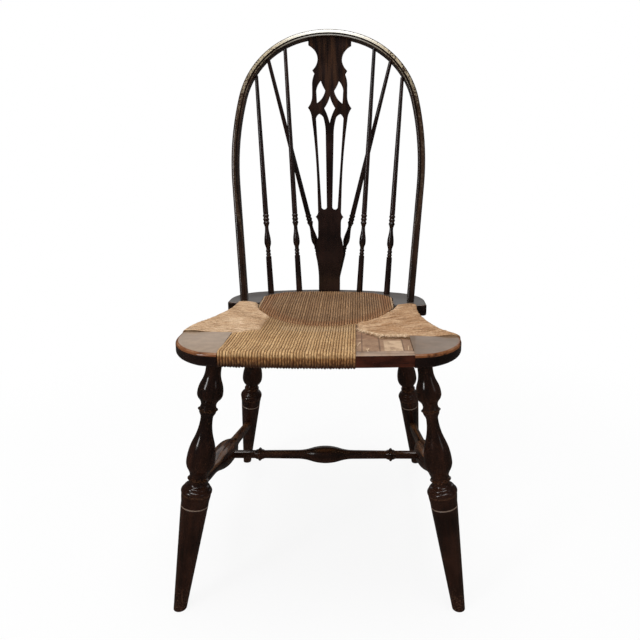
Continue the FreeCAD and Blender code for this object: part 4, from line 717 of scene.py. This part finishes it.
def wind_panel(name, table):
    """One closed skin through all the cords, with a chart of the cord's number and the metres along it."""
    columns = len(table) - 1
    rows = len(table[0]) - 1
    bpy.ops.object.select_all(action="DESELECT")
    bpy.ops.mesh.primitive_grid_add(x_subdivisions=columns, y_subdivisions=rows, size=1.0)
    panel = bpy.context.object
    panel.name = name
    mesh = panel.data
    marks = {}
    for vertex in mesh.vertices:
        column = round((vertex.co.x + 0.5) * columns)
        row = round((vertex.co.y + 0.5) * rows)
        vertex.co, run = table[column][row]
        marks[vertex.index] = (column / COLUMNS, run / 1000)
    chart = mesh.uv_layers.active or mesh.uv_layers.new(name="UVMap")
    for corner in mesh.loops:
        chart.data[corner.index].uv = marks[corner.vertex_index]
    only(panel)
    bpy.ops.object.mode_set(mode="EDIT")
    bpy.ops.mesh.select_all(action="SELECT")
    bpy.ops.mesh.remove_doubles(threshold=SEAM)
    bpy.ops.mesh.select_all(action="DESELECT")
    bpy.ops.mesh.select_non_manifold(extend=False)
    bpy.ops.mesh.edge_face_add()
    bpy.ops.mesh.select_all(action="SELECT")
    bpy.ops.mesh.normals_make_consistent(inside=False)
    bpy.ops.object.mode_set(mode="OBJECT")
    bpy.ops.object.shade_smooth_by_angle(angle=math.radians(62))
    print(name, "cords", columns // COLUMNS, "vertices", len(mesh.vertices))
    return panel


# %% [markdown]
# ## Outlines of the panels
#
# The outlines follow the rails and the line of knots between the panels, the crease, which is an arc
# round the back of the seat. Each could be drawn as a curve and filled, but the winding needs to know
# where every single cord begins and ends. So each outline is a function that gives the two ends.

# %% Front and rear panels
FRONT_REACH = 252.6
FRONT_SAG = 6.5
JOINT_HALF = 137.0
JOINT_FRONT = -138.0
STEP_WIDE = 42.0
STEP_DEEP = 24.0
CREASE_CENTRE = 66.0
CREASE_RADIUS = 128.0
REAR_CORNER = 138.4
REAR_CROWN = 20.6
REAR_DROP = 33.4
REAR_ARC_HALF = 97.2
REAR_HALF = 124.4
CORD_RIDGE = 1.7
CORD_WANDER = 0.35


def crease(x):
    """Where the crease lies, as Y of the flat seat."""
    return CREASE_CENTRE - math.sqrt(max(0.0, CREASE_RADIUS ** 2 - x * x))


def rush_height(x, y, away, rise, crest, sink, sink_from, sink_over):
    """The top of the rush: raised over the rail at crest from the edge, then lower, with the hollow."""
    over_rail = rise * math.exp(-((away - crest) / crest) ** 2)
    return RUSH_TOP + over_rail - hollow(x, y) - sink * min(1.0, max(0.0, away - sink_from) / sink_over)


def front_loop(x):
    face = -(FRONT_REACH - FRONT_SAG * (x / JOINT_HALF) ** 2)
    if x < STEP_WIDE - JOINT_HALF:
        inner = JOINT_FRONT + (x + JOINT_HALF) * (STEP_DEEP / STEP_WIDE)
    else:
        inner = crease(x)

    def height_at(y):
        return rush_height(x, y, y - face, 2.4, 13.0, 1.2, 30, 60)

    return wound_loop(inner, face + 0.9, height_at)


def rear_edge(x):
    """The back of the rear panel: a flat arc whose corners slope away."""
    half = abs(x)
    if half <= REAR_ARC_HALF:
        return REAR_CORNER + REAR_CROWN * math.sqrt(max(0.0, 1.0 - (half / REAR_ARC_HALF) ** 2 * 0.999))
    share = min(1.0, (half - REAR_ARC_HALF) / (REAR_HALF - REAR_ARC_HALF))
    return REAR_CORNER - REAR_DROP * share ** 1.5


def rear_loop(x):
    edge = rear_edge(x)

    def height_at(y):
        return rush_height(x, y, edge - y, 1.9, 12.0, 1.5, 25, 60)

    return wound_loop(crease(x), edge - 0.6, height_at)


front_panel = wind_panel("rush_front_cords", lay_cords(
    -136.6, 54.9, 4.1, front_loop, on_seat, CORD_RIDGE, 11, CORD_WANDER))
rear_panel = wind_panel("rush_rear_cords", lay_cords(
    -124.2, 124.2, 4.4, rear_loop, on_seat, CORD_RIDGE, 23, CORD_WANDER))


# %% Side panels, wound from side to side
SIDE_ARCS = {
    "left": (((214.5, -138.0), (197.0, -73.0), 4.2), ((197.0, -73.0), (167.5, 62.0), -7.5)),
    "right": (((214.5, -151.0), (193.0, -121.0), 1.6), ((193.0, -121.0), (168.5, 50.0), -11.5)),
}
STEP_END = (JOINT_HALF - STEP_WIDE, JOINT_FRONT + STEP_DEEP)
BROKEN_EDGE = ((55.0, -92.0), (95.0, -154.5), -3.0)
STRAW_PITCH = 3.4
STRAW_RIDGE = 0.8
STRAW_WANDER = 1.1


def arc_between(first, second, bulge, y):
    """X of an arc from first to second (x, y), standing off its chord by bulge, at a given y."""
    share = (y - first[1]) / (second[1] - first[1])
    return first[0] + (second[0] - first[0]) * share + 4.0 * bulge * share * (1.0 - share)


def side_outline(side, y):
    """The inner and outer ends of a side panel's straw, as distances from the middle."""
    front_arc, back_arc = SIDE_ARCS[side]
    outer = arc_between(*(front_arc if y < front_arc[1][1] else back_arc), y)
    turn_x, turn_y = STEP_END if side == "left" else BROKEN_EDGE[0]
    if y < turn_y and side == "left":
        inner = turn_x + (turn_y - y) * (STEP_WIDE / STEP_DEEP)
    elif y < turn_y:
        inner = arc_between(*BROKEN_EDGE, y)
    elif y < crease(turn_x):
        inner = turn_x
    else:
        inner = math.sqrt(max(0.0, CREASE_RADIUS ** 2 - (CREASE_CENTRE - y) ** 2))
    return inner + 0.4, outer


def side_loop(side):
    def loop(y):
        inner, outer = side_outline(side, y)

        def height_at(x):
            return rush_height(x, y, outer - x, 2.2, 15.0, 1.4, 30, 50)

        return wound_loop(inner, outer - 0.7, height_at, rows_top=40, edge_round=6.0, dive=4.0)
    return loop


def seat_left(y, x, z):
    return on_seat(-x, y, z)


def seat_right(y, x, z):
    return on_seat(x, y, z)


left_panel = wind_panel("rush_left_straw", lay_cords(
    -137.6, 61.6, STRAW_PITCH, side_loop("left"), seat_left, STRAW_RIDGE, 37, STRAW_WANDER))
right_panel = wind_panel("rush_right_straw", lay_cords(
    -154.6, 49.6, STRAW_PITCH, side_loop("right"), seat_right, STRAW_RIDGE, 41, STRAW_WANDER))


# %% [markdown]
# ## The look of rush
#
# Each cord is a twist of dried leaves, so its colour changes from cord to cord and in dashes along it.
# A noise in space would run straight across the cords. The panel's own chart holds the number of the
# cord and the distance along it instead, and from those come the dashes, the fine slanting lines of the
# twist, and painted shade in the gaps between the cords.

# %% Finish for rush
def rush_finish(name, pale, middle, dark, twist, gloss, dash, gap_shade, wear_and_painted_light):
    """Rush with twist and dash as marks per metre. The gaps between cords are darkened as painted shade,
    and the last function adds the stains and painted light of one panel.
    """
    finish = Finish(name)
    across, run = finish.parts(finish.node("ShaderNodeUVMap", {"uv_map": "UVMap"}))[:2]
    whole = across.sum("FLOOR", across)
    cord = finish.node("ShaderNodeTexWhiteNoise", {"noise_dimensions": "1D"}, {"W": whole})
    finish.dashes = finish.noise(finish.join(across * 2.2, run * dash, whole * 3.1), 1.0, 3.0, 0.6)
    threads = finish.noise(finish.join(across * 9.0 + run * twist, run * dash * 0.8, whole * 1.7),
                           1.0, 2.0, 0.6)
    finish.patches = finish.noise(finish.place(), 26.0, 3.0, 0.6)
    finish.spot = seat_flat(finish, finish.place())
    from_middle = (across - whole - 0.5) * 2.0
    groove = (from_middle * from_middle).ramp(0.42, 0.98)
    light = (cord * 0.10 + finish.dashes * 0.62 + finish.patches * 0.30).ramp(0.36, 0.68)
    colour = finish.mix(light, middle, pale)
    colour = finish.mix((threads * 0.6 + finish.dashes * 0.4).ramp(0.50, 0.34), colour, dark)
    colour = wear_and_painted_light(finish, colour)
    # Painted shade in the gaps between the cords.
    colour = finish.mix(groove * gap_shade, colour, stronger(dark, 0.35))
    height = threads * 0.7 + finish.dashes * 0.5 - groove * 0.6
    finish.set(Base_Color=colour, Roughness=finish.dashes * 0.25 + gloss,
               Normal=finish.bump(height, 0.8, 0.0007), Specular_IOR_Level=0.22)
    return finish.material


# %% Stains and painted light of each panel
AMBER_RUSH = (0.100, 0.027, 0.006), (0.36, 0.165, 0.052)
SHADED_RUSH_FOOT = (0.020, 0.006, 0.003)
HOLLOW_SHADE_RUSH = (0.21, 0.115, 0.055)
KNOT_AND_CREASE_SHADE = (0.20, 0.085, 0.032)
SCUFFED_RUSH = (0.50, 0.34, 0.19)
FRINGE_RED = (0.24, 0.098, 0.036)
FRINGE_TIP = (0.50, 0.33, 0.18)
REAR_RIM = (0.50, 0.36, 0.22)
STRAW_DARK = (0.26, 0.125, 0.050)
STRAW_GLINT = (0.74, 0.58, 0.40)
STRAW_SHEEN_PAINT = (0.72, 0.54, 0.36)


def from_crease_centre(x, y):
    return (x * x + (y - CREASE_CENTRE) * (y - CREASE_CENTRE)) ** 0.5


def front_wear(finish, colour):
    """The front face has gone amber. Its foot, which turns under, the hollow and the crease are painted
    darker as painted shade, with dark knots in the crease.
    """
    x, y, z = finish.spot
    face = z.ramp(-1.0, -5.5) * y.ramp(-215.0, -235.0)
    amber = finish.mix(finish.dashes.ramp(0.38, 0.66), *AMBER_RUSH)
    colour = finish.mix(face * 0.90, colour, amber)
    # The foot, where the cords turn under the rail, is painted nearly black: painted shade.
    colour = finish.mix(z.ramp(-8.0, -17.5) * 0.88, colour, SHADED_RUSH_FOOT)
    # Darker towards the seat's hollow: painted shade.
    colour = finish.mix(y.ramp(-150.0, -60.0) * 0.45, colour, HOLLOW_SHADE_RUSH)
    far = from_crease_centre(x, y)
    # Dark knots along the crease, with painted shade in the crease.
    crease_knots_and_shade = far.ramp(CREASE_RADIUS + 16.0, CREASE_RADIUS + 3.0) * finish.dashes.ramp(0.30, 0.56)
    colour = finish.mix(crease_knots_and_shade * 0.65, colour, KNOT_AND_CREASE_SHADE)
    scuff = (y + finish.patches * 16.0).band(-98.0, -76.0, 7.0) * x.band(-62.0, 40.0, 14.0)
    return finish.mix(scuff * 0.45, colour, SCUFFED_RUSH)


def rear_wear(finish, colour):
    """Redder at the crease, with pale tips of straw and a pale rim at the two sides."""
    x, y = finish.spot[:2]
    far = from_crease_centre(x, y)
    fringe = far.ramp(CREASE_RADIUS - 34.0, CREASE_RADIUS - 14.0)
    colour = finish.mix(fringe * 0.55, colour, FRINGE_RED)
    tip = finish.dashes.ramp(0.50, 0.66) * far.ramp(CREASE_RADIUS - 12.0, CREASE_RADIUS - 4.0)
    colour = finish.mix(tip * 0.6, colour, FRINGE_TIP)
    return finish.mix(x.size().ramp(119.0, 122.5) * 0.55, colour, REAR_RIM)


def side_wear(finish, colour):
    """Fine dark straws, pale painted glints, and a patchy painted sheen."""
    flecks = finish.noise(finish.scaled(finish.place(), (500.0, 1100.0, 900.0)), 1.0, 3.0, 0.7)
    painted_sheen = (finish.patches * 0.6 + finish.dashes * 0.4).ramp(0.47, 0.60)
    colour = finish.mix(flecks.ramp(0.50, 0.40) * 0.55, colour, STRAW_DARK)
    # Pale flecks are painted glints, and the patchy pale wash below is a painted sheen.
    colour = finish.mix(flecks.ramp(0.55, 0.64) * 0.65, colour, STRAW_GLINT)
    return finish.mix(painted_sheen * 0.30, colour, STRAW_SHEEN_PAINT)


panels = (
    (front_panel, "rush_front", rush_finish(
        "rush_front_cord", (0.66, 0.43, 0.21), (0.40, 0.225, 0.095), (0.16, 0.068, 0.022),
        420.0, 0.42, 260.0, 0.80, front_wear)),
    (rear_panel, "rush_rear", rush_finish(
        "rush_rear_cord", (0.38, 0.225, 0.115), (0.185, 0.095, 0.042), (0.065, 0.026, 0.010),
        420.0, 0.45, 260.0, 0.75, rear_wear)),
    (left_panel, "rush_left", rush_finish(
        "rush_left_straw", (0.66, 0.46, 0.29), (0.44, 0.265, 0.135), (0.20, 0.095, 0.036),
        160.0, 0.34, 120.0, 0.35, side_wear)),
    (right_panel, "rush_right", rush_finish(
        "rush_right_straw", (0.53, 0.33, 0.18), (0.36, 0.19, 0.085), (0.16, 0.068, 0.024),
        160.0, 0.40, 120.0, 0.35, side_wear)),
)
for panel, node, material in panels:
    panel.data.materials.clear()
    panel.data.materials.append(material)
    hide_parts(node)
    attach(panel, "root")
    print(panel.name, "stands in for", node)

# %% [markdown]
# ## The bare corner
#
# With the front cords gone on the right, the board that padded them shows, and behind it the loose
# stuffing under the side panel. Loose straw could be laid blade by blade, but only its front is seen.
# So the stuffing is a lumpy pad: a grid that is raised in the middle, roughened, and given a thickness.

# %% Stuffing under the right panel
PAD_LEFT = 50.0
PAD_WIDE = 88.0
PAD_FRONT = -166.0
PAD_DEEP = 96.0
PAD_TOP = -5.4
PAD_THICK = 0.006
RUMPLE = 0.28

bpy.ops.object.select_all(action="DESELECT")
bpy.ops.mesh.primitive_grid_add(x_subdivisions=44, y_subdivisions=52, size=1.0)
stuffing = bpy.context.object
stuffing.name = "stuffing_right"
lumps = random.Random(5)
waves = [(lumps.uniform(0.05, 0.16), lumps.uniform(0.04, 0.14), lumps.uniform(0, 6.28)) for _ in range(5)]
for vertex in stuffing.data.vertices:
    across = PAD_LEFT + PAD_WIDE * (vertex.co.x + 0.5)
    back = PAD_FRONT + PAD_DEEP * (vertex.co.y + 0.5)
    rumple = sum(math.sin(across * a + back * b + c) for a, b, c in waves) * RUMPLE
    sides = min(1.0, (vertex.co.x + 0.5) * 8, (0.5 - vertex.co.x) * 8)
    vertex.co = on_seat(across, back, PAD_TOP - hollow(across, back) * 0.55 + rumple + 0.8 * sides)
only(stuffing)
bpy.ops.object.modifier_add(type="SOLIDIFY")
stuffing.modifiers[-1].thickness = PAD_THICK
stuffing.modifiers[-1].offset = -1.0
bpy.ops.object.modifier_apply(modifier=stuffing.modifiers[-1].name)
bpy.ops.object.shade_smooth()
print("stuffing:", len(stuffing.data.vertices), "vertices")


# %% Finish for the padding
CARD = (0.36, 0.22, 0.130), (0.20, 0.108, 0.058)
STUFFING = (0.36, 0.205, 0.115), (0.17, 0.082, 0.042)
CARD_PATCH = (0.58, 0.41, 0.26)
CARD_FOLD = (0.09, 0.042, 0.022)
FOLDS = ((88.5, 90.0, 0.7), (123.0, 124.4, 0.7), (63.0, 64.2, 0.8))


def padding_finish(name, pale, dark):
    finish = Finish(name)
    place = finish.place()
    x, y = seat_flat(finish, place)[:2]
    fibres = finish.noise(finish.scaled(place, (260.0, 1400.0, 600.0)), 1.0, 3.0, 0.6)
    patches = finish.noise(place, 55.0, 4.0, 0.6)
    colour = finish.mix((fibres * 0.45 + patches * 0.55).ramp(0.36, 0.64), dark, pale)
    patch = x.band(97.0, 122.0, 2.0) * y.band(-219.0, -172.0, 2.5)
    colour = finish.mix(patch * patches.ramp(0.25, 0.55) * 0.75, colour, CARD_PATCH)
    folds = sum(x.band(*fold) for fold in FOLDS)
    colour = finish.mix(folds * 0.6, colour, CARD_FOLD)
    finish.set(Base_Color=colour, Roughness=fibres.ramp(0.3, 0.7, 0.62, 0.85),
               Normal=finish.bump(fibres * 0.6 + patches * 0.6, 0.7, 0.0008))
    return finish.material


dress("padding_board", padding_finish("padding_card", *CARD))
stuffing.data.materials.append(padding_finish("stuffing_rush", *STUFFING))
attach(stuffing, "root")
print("slots of the padding:", len(nodes["padding_board"].data.materials))

# %% [markdown]
# ## Frayed straw
#
# Straw stands out along the broken edge of the side panel. Hair particles could do it, but they are not
# a mesh and would be lost with the piece. So one blade is a thin cone, flattened in edit mode, and the
# rest are copies that are turned, stretched, bent and joined to one piece.

# %% One blade of straw
BLADE_LONG = 0.012

bpy.ops.object.select_all(action="DESELECT")
bpy.ops.mesh.primitive_cone_add(vertices=5, radius1=0.0011, radius2=0.0003, depth=BLADE_LONG,
                                location=(0, 0, BLADE_LONG / 2))
blade = bpy.context.object
blade.name = "straw_blade"
bpy.ops.object.transform_apply(location=True, rotation=True, scale=True)
bpy.ops.object.mode_set(mode="EDIT")
bpy.ops.mesh.select_all(action="SELECT")
bpy.ops.mesh.subdivide(number_cuts=3)
bpy.ops.transform.resize(value=(1.0, 0.45, 1.0))
bpy.ops.object.mode_set(mode="OBJECT")
print("one blade:", len(blade.data.vertices), "vertices")

# %% Frayed straw along the broken edge
FRONT_STRAWS = 54
EDGE_STRAWS = 46
LOOSE_STRAWS = (
    (73.0, -214.0, 262.0, 26.0), (70.0, -216.0, 284.0, 15.0), (112.0, -219.0, 250.0, 9.0),
    (61.0, -185.0, 255.0, 18.0), (131.0, -200.0, 268.0, 20.0),
)
fray = random.Random(8)
blades = []


def lay_blade(x, y, z, way, length, droop):
    """A straw from a point of the seat, pointing along way degrees, in the seat's plane."""
    new = blade.copy()
    new.data = blade.data.copy()
    bpy.context.collection.objects.link(new)
    base = on_seat(x, y, z)
    turn = math.radians(way)
    side = Vector((-math.sin(turn), math.cos(turn), 0.0))
    ahead = Vector((math.cos(turn), math.sin(turn), 0.0))
    for vertex in new.data.vertices:
        share = vertex.co.z / BLADE_LONG
        reach = share * length
        wide = vertex.co.x
        flat = vertex.co.y
        sink = -droop * share * share
        vertex.co = base + ahead * reach / 1000 + side * wide + Vector((0, 0, flat + sink / 1000))
    blades.append(new)


for step in range(FRONT_STRAWS):
    x = 96.0 + (135.0 - 96.0) * (step / (FRONT_STRAWS - 1)) + fray.uniform(-1, 1)
    lay_blade(x, -150.5 + fray.uniform(-1.5, 1.5), 0.9 - hollow(x, -152), fray.uniform(225, 300),
              fray.uniform(4.0, 8.0), fray.uniform(1.0, 2.4))
for step in range(EDGE_STRAWS):
    y = -152.0 + 60.0 * step / (EDGE_STRAWS - 1)
    x = side_outline("right", max(y, BROKEN_EDGE[1][1] + 0.5))[0] + 2.0
    lay_blade(x, y, 0.2 - hollow(x, y), fray.uniform(165, 235),
              fray.uniform(4.0, 7.0), fray.uniform(1.5, 3.4))
for x, y, way, length in LOOSE_STRAWS:
    lay_blade(x, y, -1.4, way, length, 0.3)
only(blades[0])
for piece in blades[1:]:
    piece.select_set(True)
bpy.ops.object.join()
straw = bpy.context.object
straw.name = "frayed_straw"
bpy.data.objects.remove(blade)
straw.data.materials.clear()


# %% Finish for the straw
def straw_finish():
    finish = Finish("frayed_straw_skin")
    place = finish.place()
    streaks = finish.noise(finish.scaled(place, (900.0, 300.0, 900.0)), 1.0, 2.0, 0.5)
    colour = finish.mix(streaks.ramp(0.35, 0.65), (0.34, 0.19, 0.09), (0.74, 0.56, 0.37))
    finish.set(Base_Color=colour, Roughness=streaks.ramp(0.3, 0.7, 0.45, 0.65),
               Normal=finish.bump(streaks, 0.5, 0.0003))
    return finish.material


straw.data.materials.append(straw_finish())
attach(straw, "root")
print("straw blades:", len(blades))

# %% [markdown]
# ## Studio
#
# The chair stands on white, lit softly from above and a little from the left. The floor and the world
# look white to the camera, but polish would turn milky if it mirrored that white all round. More light
# would whiten them too, and would bleach the rush with them. So the white is only what the camera sees,
# and the lamps are broad panels placed where the reflections show: above for the crown of the bow,
# behind for the flat tops of the seat, left for the turned legs, and a faint one on the right.

# %% Floor and world
WHITE = (1.0, 1.0, 1.0)
PAPER = (0.80, 0.80, 0.80), (0.84, 0.84, 0.84)
FLOOR_MIRRORED = (0.05, 0.045, 0.04)
AIR_MIRRORED = (0.05, 0.05, 0.05)
AIR_LIGHT = (0.58, 0.58, 0.58)
FLOOR_WIDE = 14.0


def glow(tree, kind, colour):
    """An even light of one colour."""
    made = tree.nodes.new(kind)
    made.inputs[0].default_value = (*colour, 1.0)
    return made.outputs[0]


def choose(tree, share, first, second):
    """The first skin, or by share the second one."""
    made = tree.nodes.new("ShaderNodeMixShader")
    for socket, source in zip(made.inputs, (share, first, second)):
        tree.links.new(source, socket)
    return made.outputs[0]


bpy.ops.object.select_all(action="DESELECT")
bpy.ops.mesh.primitive_plane_add(size=FLOOR_WIDE, location=(0, 0, 0))
floor = bpy.context.object
floor.name = "studio_floor"
finish = Finish("studio_floor_paper")
grain = finish.noise(finish.place(), 3.0, 2.0, 0.5)
finish.set(Base_Color=finish.mix(grain, *PAPER), Roughness=0.9)
x, y, z = finish.parts(finish.place())
far = ((x * x + y * y) ** 0.5).ramp(0.45, 1.3)
rays = finish.tree.nodes.new("ShaderNodeLightPath")
white_share = Shade(finish, rays.outputs["Is Camera Ray"]) * (far * 0.12 + 0.88)
mirrored = glow(finish.tree, "ShaderNodeEmission", FLOOR_MIRRORED)
paper = choose(finish.tree, rays.outputs["Is Glossy Ray"], finish.skin.outputs[0], mirrored)
paper = choose(finish.tree, white_share.socket, paper, glow(finish.tree, "ShaderNodeEmission", WHITE))
finish.tree.links.new(paper, finish.out.inputs[0])
floor.data.materials.append(finish.material)

world = bpy.data.worlds.new("studio_air")
world.use_nodes = True
bpy.context.scene.world = world
air = world.node_tree
air.nodes.clear()
rays = air.nodes.new("ShaderNodeLightPath")
felt, mirrored, seen = [glow(air, "ShaderNodeBackground", v) for v in (AIR_LIGHT, AIR_MIRRORED, WHITE)]
felt = choose(air, rays.outputs["Is Glossy Ray"], felt, mirrored)
felt = choose(air, rays.outputs["Is Camera Ray"], felt, seen)
air.links.new(felt, air.nodes.new("ShaderNodeOutputWorld").inputs[0])
print("floor %.0f m wide, air %.2f bright" % (FLOOR_WIDE, AIR_LIGHT[0]))


# %% Lamps
def panel_light(name, place, target, wide, tall, power):
    lamp = bpy.data.lights.new(name, "AREA")
    lamp.shape = "RECTANGLE"
    lamp.size = wide
    lamp.size_y = tall
    lamp.energy = power
    stand = bpy.data.objects.new(name, lamp)
    bpy.context.collection.objects.link(stand)
    stand.location = place
    stand.rotation_euler = (Vector(target) - Vector(place)).to_track_quat("-Z", "Y").to_euler()
    stand.visible_camera = False
    print(name, power, "W")


panel_light("lamp_above", (-0.1, -0.35, 2.5), (0, 0, 0.5), 1.3, 1.0, 30.0)
panel_light("lamp_left", (-1.7, -1.7, 1.5), (0, 0, 0.45), 0.45, 1.1, 15.0)
panel_light("lamp_right", (2.0, -1.3, 1.3), (0, 0, 0.4), 0.5, 1.0, 1.2)
panel_light("lamp_behind", (0.0, 2.6, 1.5), (0, 0, 0.45), 3.4, 1.2, 9.0)

# %% [markdown]
# ## Camera
#
# The camera stands where the photographer stood, a little right of the middle and just over a metre
# away at seat-back height. It could be set by eye, but then nothing could be compared. So its place,
# tilt and lens were found by matching the chair's known points to the picture, and a small lens shift
# gives the picture's off-centre framing.

# %% Camera at the photographer's place
CAMERA_AT = Vector((0.054473, -1.021503, 0.733625))
YAW, PITCH, ROLL = 0.0129762, 0.2445636, 0.0108183
FOCAL_PIXELS = 597.5148
PICTURE = 640.0
CENTRE = (363.5728, 288.0476)
ahead = Vector((math.sin(YAW) * math.cos(PITCH), math.cos(YAW) * math.cos(PITCH), -math.sin(PITCH)))
level_right = Vector((math.cos(YAW), -math.sin(YAW), 0.0))
level_up = level_right.cross(ahead)
right = level_right * math.cos(ROLL) + level_up * math.sin(ROLL)
upward = level_up * math.cos(ROLL) - level_right * math.sin(ROLL)
eye = bpy.data.cameras.new("photographer")
eye.sensor_width = 36.0
eye.lens = FOCAL_PIXELS / PICTURE * eye.sensor_width
eye.shift_x = (PICTURE / 2 - CENTRE[0]) / PICTURE
eye.shift_y = (CENTRE[1] - PICTURE / 2) / PICTURE
eye.clip_start = 0.05
camera = bpy.data.objects.new("photographer", eye)
bpy.context.collection.objects.link(camera)
turn = Matrix((right, upward, -ahead)).transposed().to_4x4()
camera.matrix_world = Matrix.Translation(CAMERA_AT) @ turn
bpy.context.scene.camera = camera
bpy.context.scene.view_settings.view_transform = "Standard"
print("lens %.1f mm, camera %.3f m up" % (eye.lens, CAMERA_AT.z))
